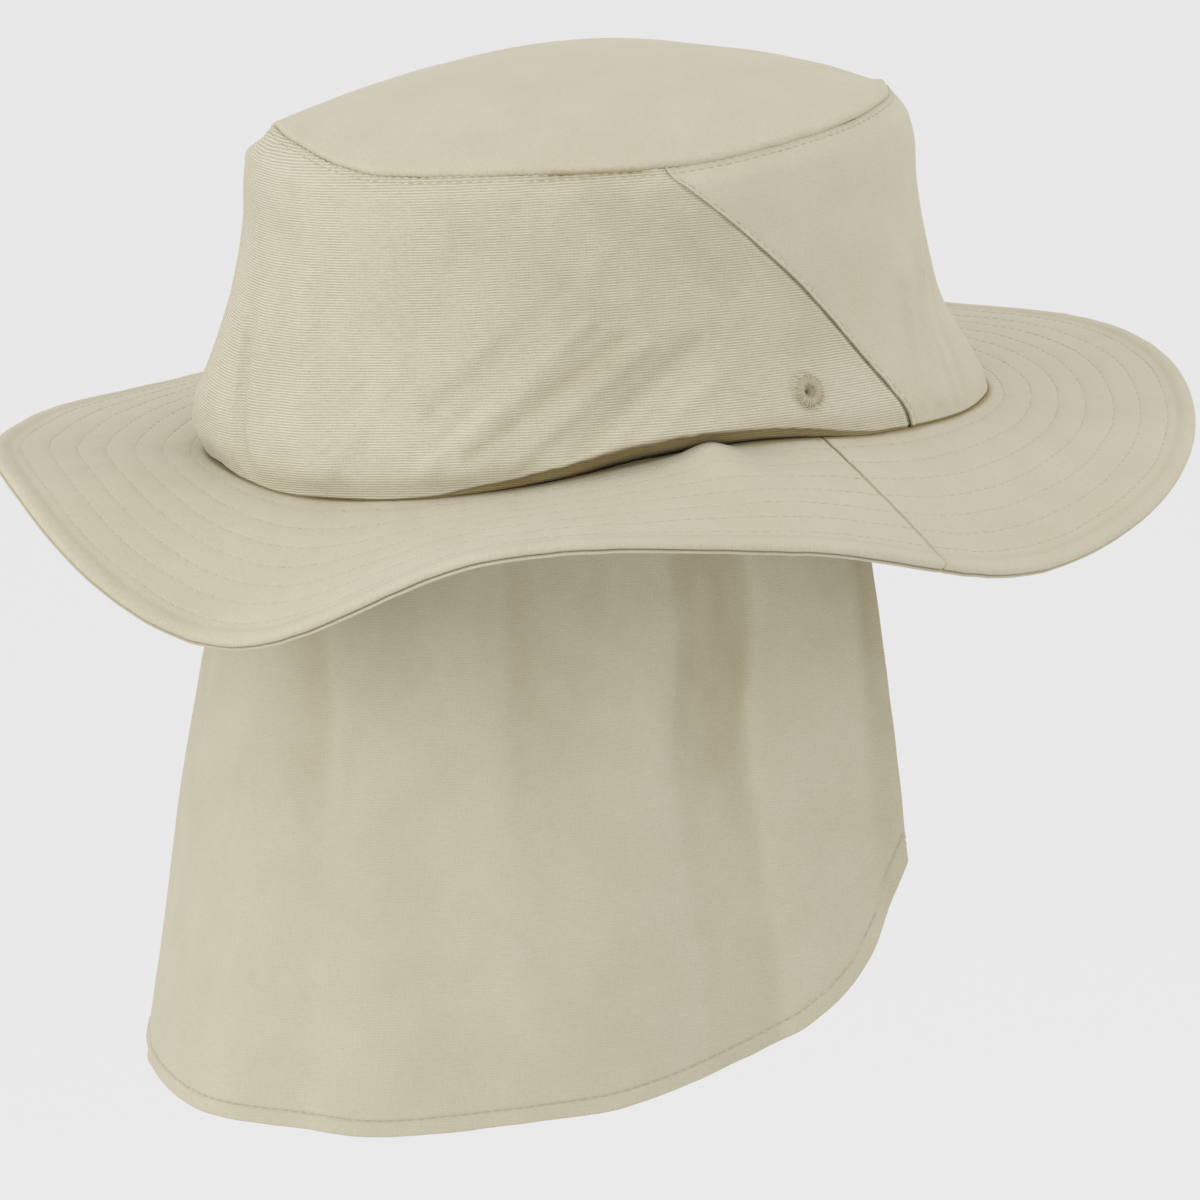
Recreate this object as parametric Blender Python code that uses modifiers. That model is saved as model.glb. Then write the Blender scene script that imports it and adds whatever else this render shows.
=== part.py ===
"""Surf hat: a cloth sun hat with a domed crown, a stitched brim and a hanging neck flap.

The frame is in metres with +Z up. The wearer looks along -Y, and +X is the wearer's left.
The origin is the middle of the head opening, level with the front of the brim seam.
Angles round the head are in degrees: 0 at the front, 90 at the wearer's right ear, 180 at the back.
"""
import math

import bmesh
import bpy
import numpy as np
from mathutils import Vector

# Crown sizes
CROWN_BASE_LENGTH = 0.212
CROWN_BASE_WIDTH = 0.172
CROWN_TOP_LENGTH = 0.165
CROWN_TOP_WIDTH = 0.142
CROWN_HEIGHT = 0.0845
TIP_RISE = 0.0155
TIP_SQUARENESS = 2.1
SEAM_TOP_ANGLE = 93.0
SEAM_BASE_ANGLE = 56.0
SEAM_BOW = 3.5

# Brim sizes
BRIM_WIDTH = 0.057
BRIM_JOIN_ANGLE = 73.5

# Neck flap sizes
FLAP_LENGTH = 0.1605
FLAP_FRONT_ANGLE = 65.0
FLAP_SEAM_ALLOWANCE = 0.007

# Eyelet sizes
EYELET_DIAMETER = 0.010
EYELET_HOLE = 0.0036
EYELET_BARREL = 0.0056
EYELET_RIM = 0.0011
EYELET_ANGLE = 75.0
EYELET_HEIGHT = 0.16

# Cloth thicknesses, the sine of the slant of the crown's cut edge, and the clearance between sewn pieces
CROWN_CLOTH = 0.0016
CROWN_EDGE_SLANT = 0.45
BRIM_CLOTH = 0.0024
FLAP_CLOTH = 0.0012
SEAM_GAP = 0.0004

# Height of the brim seam round the head, as a share of the crown's height
BRIM_SEAM_ROWS = [
    # angle, rise
    (-150, 0.03), (-120, 0.07), (-90, 0.14), (-60, 0.07), (-30, 0.02), (0, 0.0),
    (30, 0.02), (60, 0.07), (90, 0.14), (120, 0.07), (150, 0.03), (180, 0.05),
]

# Height of the tip seam round the head, as a share of the crown's height
TIP_SEAM_ROWS = [
    # angle, rise
    (-150, 0.0), (-120, -0.03), (-90, -0.01), (-60, -0.01), (-30, -0.05), (0, -0.03),
    (30, 0.01), (60, 0.0), (90, -0.02), (120, 0.0), (150, 0.0), (180, 0.06),
]

# Slope of the brim below level round the head, in degrees, with its curl towards the edge
BRIM_ROWS = [
    # angle, slope, curl
    (-150, -2, 0.0), (-120, 8, 0.0), (-90, 12, 0.2), (-60, 9, 0.1), (-30, 3, 0.0), (0, 1, 0.0),
    (30, 19, 0.0), (60, 32, 0.1), (90, 14, 0.3), (120, 1, 0.2), (150, 25, 0.0), (180, -5, 0.0),
]

# How far the wall stands out from a straight line between its seams, as shares of its height
WALL_ROWS = [
    # height, front, side, back
    (0.00, 0.000, 0.000, 0.000),
    (0.06, -0.010, 0.030, 0.050),
    (0.14, -0.028, 0.030, 0.070),
    (0.30, -0.062, 0.018, 0.044),
    (0.50, -0.040, 0.016, 0.020),
    (0.72, -0.004, 0.022, 0.024),
    (0.90, 0.032, 0.034, 0.056),
    (0.96, 0.030, 0.026, 0.054),
    (1.00, 0.000, 0.000, 0.000),
]

# Flap sections down from the brim seam: how far each stands out from the head opening
FLAP_ROWS = [
    # drop, front edge, side, back, as shares of the flap's length
    (-0.06, 0.000, 0.000, 0.000),
    (0.00, 0.000, 0.000, 0.000),
    (0.05, 0.000, 0.000, 0.002),
    (0.25, 0.020, 0.005, 0.036),
    (0.50, 0.048, 0.020, 0.094),
    (0.75, 0.070, 0.040, 0.144),
    (1.00, 0.092, 0.060, 0.200),
]

# Soft folds that run down the flap and grow towards its hem
FLAP_FOLDS = [
    # angle, half width in degrees, depth as a share of the flap's length
    (69, 4, -0.016), (81, 6, 0.014), (95, 7, -0.010), (111, 9, 0.007), (129, 8, -0.007),
    (141, 6, 0.008), (152, 6, -0.012), (166, 8, 0.010), (184, 9, -0.007), (201, 8, 0.010),
    (217, 8, -0.011), (235, 9, 0.009), (254, 8, -0.010), (272, 7, 0.010), (287, 5, -0.012),
]

# Soft folds and dents of the crown's wall
WALL_FOLDS = [
    # start angle, start height, end angle, end height, half width, depth as shares of the crown's height
    (131, 0.08, 99, 0.46, 0.070, 0.012),
    (126, 0.24, 129, 0.14, 0.050, -0.018),
    (118, 0.06, 92, 0.30, 0.060, -0.010),
    (176, 0.45, 167, 0.06, 0.060, -0.022),
    (158, 0.50, 150, 0.10, 0.090, 0.012),
    (52, 0.04, 47, 0.40, 0.060, -0.014),
    (20, 0.10, 8, 0.55, 0.100, 0.012),
    (-28, 0.08, -44, 0.50, 0.080, -0.014),
    (-100, 0.10, -122, 0.48, 0.080, 0.012),
    (-136, 0.08, -148, 0.46, 0.080, -0.014),
]

# Length of the flap round the head, as a share of its length at the back
FLAP_LENGTH_ROWS = [
    # share of the way from the front edge to the back, length
    (0.00, 0.67), (0.04, 0.76), (0.10, 0.84), (0.20, 0.92), (0.35, 0.97), (0.60, 1.0), (1.0, 1.0),
]


def through(places, values, at, period=None):
    """Smooth curve through the given values, read anywhere."""
    places = np.asarray(places, float)
    values = np.asarray(values, float)
    at = np.asarray(at, float)
    if period:
        at = np.mod(at - places[0], period) + places[0]
        places = np.concatenate([places[-2:] - period, places, places[:3] + period])
        values = np.concatenate([values[-2:], values, values[:3]])
    else:
        at = np.clip(at, places[0], places[-1])
    slopes = np.gradient(values, places)
    index = np.clip(np.searchsorted(places, at, side="right") - 1, 0, len(places) - 2)
    span = places[index + 1] - places[index]
    share = (at - places[index]) / span
    start = values[index] * (1 + 2 * share) * (1 - share) ** 2
    end = values[index + 1] * share ** 2 * (3 - 2 * share)
    start_slope = slopes[index] * span * share * (1 - share) ** 2
    end_slope = slopes[index + 1] * span * share ** 2 * (share - 1)
    return start + end + start_slope + end_slope


def column(rows, number):
    """One column of a table."""
    return [row[number] for row in rows]


def round_head(rows, number, angle):
    """A table's column read at an angle round the head."""
    return through(column(rows, 0), column(rows, number), angle, 360.0)


def ring(angle, length, width, squareness=2.0):
    """Plan of an oval ring, and its outward direction."""
    turn = np.radians(angle)
    side = np.sin(turn)
    front = np.cos(turn)
    reach = (np.abs(side) ** squareness + np.abs(front) ** squareness) ** (-1.0 / squareness)
    x = -0.5 * width * side * reach
    y = -0.5 * length * front * reach
    out = np.stack([x / width ** 2, y / length ** 2], -1)
    out = out / np.linalg.norm(out, axis=-1)[..., None]
    return np.stack([x, y], -1), out


def blend(angle, front, side, back):
    """Mix of a front, a side and a back value by the angle round the head."""
    ahead = np.cos(np.radians(angle))
    return front * np.clip(ahead, 0, 1) ** 2 + back * np.clip(-ahead, 0, 1) ** 2 + side * (1 - ahead ** 2)


def brim_seam_height(angle):
    """Height of the seam between crown and brim."""
    return CROWN_HEIGHT * round_head(BRIM_SEAM_ROWS, 1, angle)


def tip_seam_height(angle):
    """Height of the seam between wall and tip."""
    return CROWN_HEIGHT * (1 + round_head(TIP_SEAM_ROWS, 1, angle))


def fold_depth(angle, height):
    """How far the wall's folds move it outwards, as a share of the crown's height."""
    stretch = math.radians(0.25 * (CROWN_BASE_LENGTH + CROWN_BASE_WIDTH) / CROWN_HEIGHT)
    total = np.zeros(np.shape(angle + height))
    for start_angle, start_height, end_angle, end_height, half_width, depth in WALL_FOLDS:
        along_x = (end_angle - start_angle) * stretch
        along_y = end_height - start_height
        from_x = (np.mod(angle - start_angle + 180, 360) - 180) * stretch
        from_y = height - start_height
        share = np.clip((from_x * along_x + from_y * along_y) / (along_x ** 2 + along_y ** 2), 0, 1)
        away = (from_x - share * along_x) ** 2 + (from_y - share * along_y) ** 2
        total = total + depth * np.exp(-away / half_width ** 2)
    return total * np.clip(height / 0.06, 0, 1) * np.clip((1 - height) / 0.1, 0, 1)


def wall_point(angle, height):
    """Outer face of the crown's wall, from the brim seam at height 0 to the tip seam at 1."""
    base, out = ring(angle, CROWN_BASE_LENGTH, CROWN_BASE_WIDTH)
    top, _ = ring(angle, CROWN_TOP_LENGTH, CROWN_TOP_WIDTH, TIP_SQUARENESS)
    low = brim_seam_height(angle) + SEAM_GAP + CROWN_CLOTH * CROWN_EDGE_SLANT
    high = tip_seam_height(angle) - CROWN_CLOTH - SEAM_GAP
    stand = [through(column(WALL_ROWS, 0), column(WALL_ROWS, n), height) for n in (1, 2, 3)]
    stand = CROWN_HEIGHT * (blend(angle, *stand) + fold_depth(angle, height))
    share = np.asarray(height)[..., None]
    plan = base + (top - base) * share + out * stand[..., None]
    return np.concatenate([plan, (low + (high - low) * height)[..., None]], -1)


def tip_point(angle, reach):
    """Upper face of the tip, from its middle at reach 0 to its seam at 1."""
    edge, _ = ring(angle, CROWN_TOP_LENGTH, CROWN_TOP_WIDTH, TIP_SQUARENESS)
    plan = edge * np.asarray(reach)[..., None]
    rise = TIP_RISE * (1 - reach ** 2) ** 0.9
    height = CROWN_HEIGHT + (tip_seam_height(angle) - CROWN_HEIGHT) * reach ** 2 + rise
    return np.concatenate([plan, height[..., None]], -1)


def brim_point(angle, reach):
    """Upper face of the brim: reach 0 at the crown seam, 1 at the outer edge, below 0 in the seam."""
    base, out = ring(angle, CROWN_BASE_LENGTH, CROWN_BASE_WIDTH)
    slope = np.radians(round_head(BRIM_ROWS, 1, angle))
    curl = round_head(BRIM_ROWS, 2, angle)
    free = np.clip(reach, 0, 1)
    away = BRIM_WIDTH * np.where(reach > 0, reach * np.cos(slope), reach)
    fall = BRIM_WIDTH * np.sin(slope) * (free - curl * free * (1 - free))
    plan = base + out * away[..., None]
    return np.concatenate([plan, (brim_seam_height(angle) - fall)[..., None]], -1)


def flap_point(angle, drop):
    """Outer face of the flap; drop is a share of the flap's length below the brim seam."""
    base, out = ring(angle, CROWN_BASE_LENGTH, CROWN_BASE_WIDTH)
    turn = np.abs(np.mod(angle + 180, 360) - 180)
    front, side, back = [through(column(FLAP_ROWS, 0), column(FLAP_ROWS, n), drop) for n in (1, 2, 3)]
    edge = np.clip((90 - turn) / (90 - FLAP_FRONT_ANGLE), 0, 1) ** 2
    behind = np.clip(-np.cos(np.radians(turn)), 0, 1) ** 2
    stand = front * edge + (side + (back - side) * behind) * (1 - edge)
    for middle, half_width, depth in FLAP_FOLDS:
        near = (np.mod(angle - middle + 180, 360) - 180) / half_width
        stand = stand + depth * np.exp(-near ** 2) * np.clip(drop - 0.03, 0, 1) ** 0.8
    plan = base + out * (FLAP_LENGTH * stand - CROWN_CLOTH - SEAM_GAP)[..., None]
    settle = 1 - np.clip(drop / 0.3, 0, 1)
    height = brim_seam_height(angle) * settle ** 2 - FLAP_LENGTH * drop
    return np.concatenate([plan, height[..., None]], -1)


def flap_reach(angle):
    """Length of the flap at an angle, as a share of its length at the back."""
    turn = np.abs(np.mod(angle + 180, 360) - 180)
    share = (turn - FLAP_FRONT_ANGLE) / (180 - FLAP_FRONT_ANGLE)
    return through(column(FLAP_LENGTH_ROWS, 0), column(FLAP_LENGTH_ROWS, 1), share)


def seam_angle(height):
    """Angle of the diagonal seam between the wall's panels."""
    straight = SEAM_BASE_ANGLE + (SEAM_TOP_ANGLE - SEAM_BASE_ANGLE) * height
    return straight - SEAM_BOW * 4 * height * (1 - height)


# Build
def remove_everything():
    """Start from an empty scene."""
    for item in list(bpy.data.objects):
        bpy.data.objects.remove(item, do_unlink=True)


def new_collection(name):
    """A collection linked to the scene."""
    collection = bpy.data.collections.new(name)
    bpy.context.scene.collection.children.link(collection)
    return collection


def material(name, colour, roughness):
    """Plain cloth or thread material."""
    item = bpy.data.materials.new(name)
    item.use_nodes = True
    shader = item.node_tree.nodes["Principled BSDF"]
    shader.inputs["Base Color"].default_value = (*colour, 1.0)
    shader.inputs["Roughness"].default_value = roughness
    shader.inputs["Metallic"].default_value = 0.0
    return item


def smooth(mesh):
    """Smooth shading with sharp folds at the cloth's cut edges."""
    mesh.shade_smooth()
    mesh.set_sharp_from_angle(angle=math.radians(50))


def sheet(name, points, thickness, cloth, collection, closed=False):
    """A cloth piece lofted through a grid of points and thickened towards its inner side.

    The grid's lines go round the head one after another, and each runs inwards or upwards.
    """
    count, rows = points.shape[:2]
    shape = bmesh.new()
    corners = [[shape.verts.new(point) for point in line] for line in points]
    for i in range(count if closed else count - 1):
        here = corners[i]
        following = corners[(i + 1) % count]
        for j in range(rows - 1):
            shape.faces.new((here[j], here[j + 1], following[j + 1], following[j]))
    if closed:
        bmesh.ops.remove_doubles(shape, verts=[line[-1] for line in corners], dist=0.00001)
    mesh = bpy.data.meshes.new(name)
    shape.to_mesh(mesh)
    shape.free()
    smooth(mesh)
    mesh.materials.append(cloth)
    item = bpy.data.objects.new(name, mesh)
    collection.objects.link(item)
    solid = item.modifiers.new("Thickness", "SOLIDIFY")
    solid.thickness = thickness
    solid.offset = -1.0
    solid.use_even_offset = True
    return item


def lattice(first, last, count, rows, place):
    """A grid of points between two angles that may change with the row."""
    points = []
    for step in np.linspace(0, 1, count):
        angle = first(rows) + (last(rows) - first(rows)) * step
        points.append(place(angle, rows))
    return np.array(points)


def mesh_object(name, shape, collection):
    """An object from a bmesh."""
    mesh = bpy.data.meshes.new(name)
    shape.to_mesh(mesh)
    shape.free()
    item = bpy.data.objects.new(name, mesh)
    collection.objects.link(item)
    return item


def stand_on_wall(item, angle):
    """Put an object's local Z along the wall's outward direction at the eyelet's place."""
    step = 0.01
    here = wall_point(np.array([angle]), np.array([EYELET_HEIGHT]))[0]
    round_wall = wall_point(np.array([angle + 1.0]), np.array([EYELET_HEIGHT]))[0] - here
    up_wall = wall_point(np.array([angle]), np.array([EYELET_HEIGHT + step]))[0] - here
    outward = Vector(np.cross(up_wall, round_wall)).normalized()
    item.location = here
    item.rotation_euler = outward.to_track_quat("Z", "Y").to_euler()


def eyelet(name, angle, thread, collection):
    """Stitched ring with a barrel that goes through the wall."""
    top = SEAM_GAP + EYELET_RIM
    outer = EYELET_DIAMETER / 2
    inner = EYELET_HOLE / 2
    barrel = EYELET_BARREL / 2
    round_edge = [
        (outer - EYELET_RIM + EYELET_RIM * math.sin(turn), SEAM_GAP + EYELET_RIM * math.cos(turn))
        for turn in np.linspace(0, math.pi / 2, 4)
    ]
    profile = [(inner + 0.3 * EYELET_RIM, top)]
    profile += round_edge
    profile += [(barrel, SEAM_GAP), (barrel, -CROWN_CLOTH), (inner, -CROWN_CLOTH), (inner, top - 0.3 * EYELET_RIM)]
    shape = bmesh.new()
    corners = [shape.verts.new((radius, 0, height)) for radius, height in profile]
    for corner, following in zip(corners, corners[1:] + corners[:1]):
        shape.edges.new((corner, following))
    item = mesh_object(name, shape, collection)
    item.data.materials.append(thread)
    turned = item.modifiers.new("Turn", "SCREW")
    turned.axis = "Z"
    turned.angle = math.tau
    turned.steps = 24
    turned.render_steps = 24
    turned.use_merge_vertices = True
    turned.merge_threshold = 0.00001
    turned.use_smooth_shade = True
    stand_on_wall(item, angle)
    return item


def eyelet_hole(name, angle, panel, cutters):
    """Round hole through the wall for an eyelet's barrel."""
    shape = bmesh.new()
    radius = EYELET_BARREL / 2 + SEAM_GAP
    bmesh.ops.create_cone(
        shape, cap_ends=True, segments=24, radius1=radius, radius2=radius, depth=8 * CROWN_CLOTH
    )
    cutter = mesh_object(name, shape, cutters)
    cutter.hide_render = True
    cutter.display_type = "WIRE"
    stand_on_wall(cutter, angle)
    cut = panel.modifiers.new(name, "BOOLEAN")
    cut.operation = "DIFFERENCE"
    cut.solver = "EXACT"
    cut.object = cutter


remove_everything()
hat = new_collection("surf_hat")
cutters = new_collection("surf_hat_cutters")
cloth_colour = (0.60, 0.56, 0.43)
thread_colour = (0.52, 0.48, 0.35)

# Crown tip: a domed oval, closed round its middle
around = np.linspace(0, 360, 52, endpoint=False)
reaches = np.array([1.0, 0.95, 0.85, 0.7, 0.54, 0.36, 0.18, 0.0])
tip_grid = tip_point(around[:, None] + 0 * reaches, reaches + 0 * around[:, None])
sheet("crown_tip", tip_grid, CROWN_CLOTH, material("crown_tip_cloth", cloth_colour, 0.9), hat, closed=True)

# Crown wall: two panels that meet at the diagonal seams
heights = np.array([0.0, 0.04, 0.09, 0.15, 0.22, 0.31, 0.42, 0.54, 0.66, 0.78, 0.88, 0.94, 0.975, 1.0])
seam_step = math.degrees(0.75 * SEAM_GAP / (CROWN_TOP_WIDTH / 2))
front_panel = lattice(
    lambda height: -seam_angle(height) + seam_step, lambda height: seam_angle(height) - seam_step,
    27, heights, wall_point,
)
rear_panel = lattice(
    lambda height: seam_angle(height) + seam_step, lambda height: 360 - seam_angle(height) - seam_step,
    42, heights, wall_point,
)
sheet("crown_front_panel", front_panel, CROWN_CLOTH, material("crown_front_cloth", cloth_colour, 0.9), hat)
rear = sheet("crown_rear_panel", rear_panel, CROWN_CLOTH, material("crown_rear_cloth", cloth_colour, 0.9), hat)

# Eyelets: one low on each side of the rear panel
for side, angle in (("right", EYELET_ANGLE), ("left", 360 - EYELET_ANGLE)):
    eyelet_hole("eyelet_hole_" + side, angle, rear, cutters)
    eyelet("eyelet_" + side, angle, material("eyelet_" + side + "_thread", thread_colour, 0.8), hat)

# Brim: two parts that meet at the side seams, with a level margin under the crown's wall
brim_reaches = np.append(np.linspace(1, 0, 8), -CROWN_CLOTH / BRIM_WIDTH)
join_step = math.degrees(0.6 * SEAM_GAP / (CROWN_BASE_WIDTH / 2))
brim_front = lattice(
    lambda reach: -BRIM_JOIN_ANGLE + join_step + 0 * reach, lambda reach: BRIM_JOIN_ANGLE - join_step + 0 * reach,
    31, brim_reaches, brim_point,
)
brim_rear = lattice(
    lambda reach: BRIM_JOIN_ANGLE + join_step + 0 * reach, lambda reach: 360 - BRIM_JOIN_ANGLE - join_step + 0 * reach,
    43, brim_reaches, brim_point,
)
sheet("brim_front", brim_front, BRIM_CLOTH, material("brim_front_cloth", cloth_colour, 0.9), hat)
sheet("brim_rear", brim_rear, BRIM_CLOTH, material("brim_rear_cloth", cloth_colour, 0.9), hat)

# Neck flap: hangs from inside the wall's lower edge, with rounded front corners
flap_shares = np.append(np.linspace(1, 0, 13) ** 0.9, 0.0)
turns = np.concatenate([np.linspace(0, 0.1, 5)[:-1], np.linspace(0.1, 0.9, 41), np.linspace(0.9, 1.0, 5)[1:]])
flap_grid = []
for turn in turns:
    angle = FLAP_FRONT_ANGLE + (360 - 2 * FLAP_FRONT_ANGLE) * turn
    drops = flap_reach(angle) * flap_shares
    drops[-1] = -FLAP_SEAM_ALLOWANCE / FLAP_LENGTH
    flap_grid.append(flap_point(angle + 0 * drops, drops))
sheet("neck_flap", np.array(flap_grid), FLAP_CLOTH, material("neck_flap_cloth", cloth_colour, 0.9), hat)
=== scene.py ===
"""Surf hat: a light khaki sun hat with a domed crown, a stitched brim and a hanging neck flap.

Lengths are in metres with +Z up. The wearer looks along -Y, and +X is the wearer's left.
Angles round the head are in degrees: 0 at the front, 90 at the wearer's right ear, 180 at the back.
"""

import math

import bpy
import numpy as np
from mathutils import Matrix, Vector


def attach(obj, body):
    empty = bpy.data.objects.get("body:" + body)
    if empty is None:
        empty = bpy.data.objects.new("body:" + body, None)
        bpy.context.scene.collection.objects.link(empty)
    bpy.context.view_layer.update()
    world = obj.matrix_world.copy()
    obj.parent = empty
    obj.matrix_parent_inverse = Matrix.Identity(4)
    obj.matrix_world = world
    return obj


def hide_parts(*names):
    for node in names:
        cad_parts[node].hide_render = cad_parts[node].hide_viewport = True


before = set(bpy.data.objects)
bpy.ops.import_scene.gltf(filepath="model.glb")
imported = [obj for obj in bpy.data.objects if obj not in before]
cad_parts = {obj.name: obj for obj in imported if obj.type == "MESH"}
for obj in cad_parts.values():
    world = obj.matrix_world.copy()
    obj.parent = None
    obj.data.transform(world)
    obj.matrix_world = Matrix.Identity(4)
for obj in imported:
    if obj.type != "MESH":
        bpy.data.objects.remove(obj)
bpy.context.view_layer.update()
MM = 0.001

# --- Crown rear panel --------------------------------------------------------------------------------
# One piece of thin ribbed nylon cloth that wraps the back of the crown, from one diagonal seam to the
# other. Its lower edge is turned under and bulges over the brim seam, and its upper edge is turned in
# and sewn to the tip with one row of topstitching just below the seam.
CROWN_BASE_LENGTH = 0.212
CROWN_BASE_WIDTH = 0.172
CROWN_TOP_LENGTH = 0.165
CROWN_TOP_WIDTH = 0.142
CROWN_HEIGHT = 0.0845
CROWN_CLOTH = 0.0016
CROWN_EDGE_SLANT = 0.45
SEAM_GAP = 0.0004
TIP_SQUARENESS = 2.1
SEAM_TOP_ANGLE = 93.0
SEAM_BASE_ANGLE = 56.0
SEAM_BOW = 3.5
EYELET_ANGLE = 75.0
EYELET_HEIGHT = 0.16
BRIM_SEAM_ROWS = [
    # angle, rise as a share of the crown's height
    (-150, 0.03), (-120, 0.07), (-90, 0.14), (-60, 0.07), (-30, 0.02), (0, 0.0),
    (30, 0.02), (60, 0.07), (90, 0.14), (120, 0.07), (150, 0.03), (180, 0.05),
]
TIP_SEAM_ROWS = [
    # angle, rise as a share of the crown's height
    (-150, 0.0), (-120, -0.03), (-90, -0.01), (-60, -0.01), (-30, -0.05), (0, -0.03),
    (30, 0.01), (60, 0.0), (90, -0.02), (120, 0.0), (150, 0.0), (180, 0.06),
]
WALL_ROWS = [
    # height, then how far the wall stands out in front, at the side and at the back
    (0.00, 0.000, 0.000, 0.000), (0.06, -0.010, 0.030, 0.050), (0.14, -0.028, 0.030, 0.070),
    (0.30, -0.062, 0.018, 0.044), (0.50, -0.040, 0.016, 0.020), (0.72, -0.004, 0.022, 0.024),
    (0.90, 0.032, 0.034, 0.056), (0.96, 0.030, 0.026, 0.054), (1.00, 0.000, 0.000, 0.000),
]
WALL_FOLDS = [
    # start angle, start height, end angle, end height, half width, depth as shares of the crown's height
    (131, 0.08, 99, 0.46, 0.070, 0.012), (126, 0.24, 129, 0.14, 0.050, -0.018),
    (118, 0.06, 92, 0.30, 0.060, -0.010), (176, 0.45, 167, 0.06, 0.060, -0.022),
    (158, 0.50, 150, 0.10, 0.090, 0.012), (52, 0.04, 47, 0.40, 0.060, -0.014),
    (20, 0.10, 8, 0.55, 0.100, 0.012), (-28, 0.08, -44, 0.50, 0.080, -0.014),
    (-100, 0.10, -122, 0.48, 0.080, 0.012), (-136, 0.08, -148, 0.46, 0.080, -0.014),
]
LIP_ROWS = [
    # angle, how much the turned lower edge bulges over the brim seam, 1 at the sides
    (-150, 0.10), (-126, 0.25), (-104, 0.95), (-84, 0.60), (-60, 0.14), (-30, 0.10), (0, 0.10), (30, 0.10),
    (58, 0.12), (71, 0.22), (84, 0.57), (95.5, 0.87), (104.5, 1.0), (112, 0.68), (119, 0.46), (127, 0.20),
    (136, 0.11), (150, 0.10), (180, 0.10),
]
LIP_HEIGHT = 0.0053
LIP_OVERHANG = 0.0032
LIP_RECESS = 0.0008
CLOTH_FOLDS = [
    # like the wall's folds, but narrow ones that only the cloth's own face shows
    (131, 0.10, 108, 0.50, 0.030, 0.014), (125, 0.12, 103, 0.44, 0.026, -0.013),
    (121, 0.24, 112, 0.38, 0.020, 0.006), (119, 0.08, 99, 0.40, 0.030, 0.011),
    (110, 0.08, 92, 0.38, 0.034, -0.011), (105, 0.10, 96, 0.26, 0.022, 0.006),
    (101, 0.06, 84, 0.32, 0.030, 0.007), (132, 0.26, 110, 0.66, 0.038, -0.010),
    (127, 0.40, 104, 0.74, 0.050, 0.007), (179, 0.46, 168, 0.03, 0.018, 0.009),
    (176, 0.40, 165, 0.05, 0.022, -0.008), (160, 0.60, 150, 0.10, 0.060, 0.008),
    (147, 0.10, 138, 0.40, 0.030, 0.006), (48, 0.05, 31, 0.72, 0.022, 0.009),
    (43, 0.05, 37, 0.46, 0.016, 0.008), (52, 0.06, 45, 0.36, 0.018, 0.007),
    (39, 0.06, 24, 0.55, 0.024, -0.006), (86, 0.55, 96, 0.95, 0.050, -0.007),
    (-126, 0.10, -105, 0.45, 0.032, 0.012), (-117, 0.10, -98, 0.40, 0.032, -0.012),
    (-47, 0.05, -34, 0.60, 0.026, 0.007),
]
PANEL_CLOTH = 0.0009
RIB_RISE = 0.13
RIB_SLANT = 0.05
TOPSTITCH_DROP = 0.0008
TOP_TURN = 0.0016
HORN_RISE = 0.0016
STITCH_PITCH = 0.0026
TIP_RADIUS = 0.25 * (CROWN_TOP_LENGTH + CROWN_TOP_WIDTH)
WALL_GRID_STEP = 0.00072


def through(places, values, at, period=None):
    """Smooth curve through the given values, read anywhere."""
    places = np.asarray(places, float)
    values = np.asarray(values, float)
    at = np.asarray(at, float)
    if period:
        at = np.mod(at - places[0], period) + places[0]
        places = np.concatenate([places[-2:] - period, places, places[:3] + period])
        values = np.concatenate([values[-2:], values, values[:3]])
    else:
        at = np.clip(at, places[0], places[-1])
    slopes = np.gradient(values, places)
    index = np.clip(np.searchsorted(places, at, side="right") - 1, 0, len(places) - 2)
    span = places[index + 1] - places[index]
    share = (at - places[index]) / span
    start = values[index] * (1 + 2 * share) * (1 - share) ** 2
    end = values[index + 1] * share ** 2 * (3 - 2 * share)
    start_slope = slopes[index] * span * share * (1 - share) ** 2
    end_slope = slopes[index + 1] * span * share ** 2 * (share - 1)
    return start + end + start_slope + end_slope


def column(rows, number):
    """One column of a table."""
    return [row[number] for row in rows]


def round_head(rows, number, angle):
    """A table's column read at an angle round the head."""
    return through(column(rows, 0), column(rows, number), angle, 360.0)


def step_up(value):
    """Soft step from 0 to 1."""
    value = np.clip(value, 0, 1)
    return value * value * (3 - 2 * value)


def bump(value):
    """Soft bump of height 1 that is gone two units away."""
    return np.exp(-np.square(value))


def paired(*values):
    """Numbers or arrays as arrays of one shape."""
    return np.broadcast_arrays(*(np.asarray(value, float) for value in values))


def signed(angle):
    """The same angle between -180 and 180."""
    return np.mod(angle + 180, 360) - 180


def unevenness(x, y, seed, cells=256):
    """Soft random waves between about -1 and 1, one cell wide, that repeat after a number of cells."""
    heights = np.random.default_rng(seed).uniform(-1, 1, (cells, 256))
    x, y = paired(x, y)
    left = np.floor(x).astype(int)
    low = np.floor(y).astype(int)
    across = step_up(x - left)
    up = step_up(y - low)
    left, right = np.mod(left, cells), np.mod(left + 1, cells)
    low, high = np.mod(low, 256), np.mod(low + 1, 256)
    below = heights[left, low] * (1 - across) + heights[right, low] * across
    above = heights[left, high] * (1 - across) + heights[right, high] * across
    return below * (1 - up) + above * up


def patches(turns, share, broad, fine):
    """Blotches between 0 and 1; broad and fine ones have their cells round and up, and their seed."""
    total = 0
    for weight, (cells_round, cells_up, seed) in ((0.6, broad), (0.4, fine)):
        waves = unevenness(turns * cells_round, share * cells_up, seed, cells_round)
        total = total + weight * (0.5 + 0.5 * waves)
    return total


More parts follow.
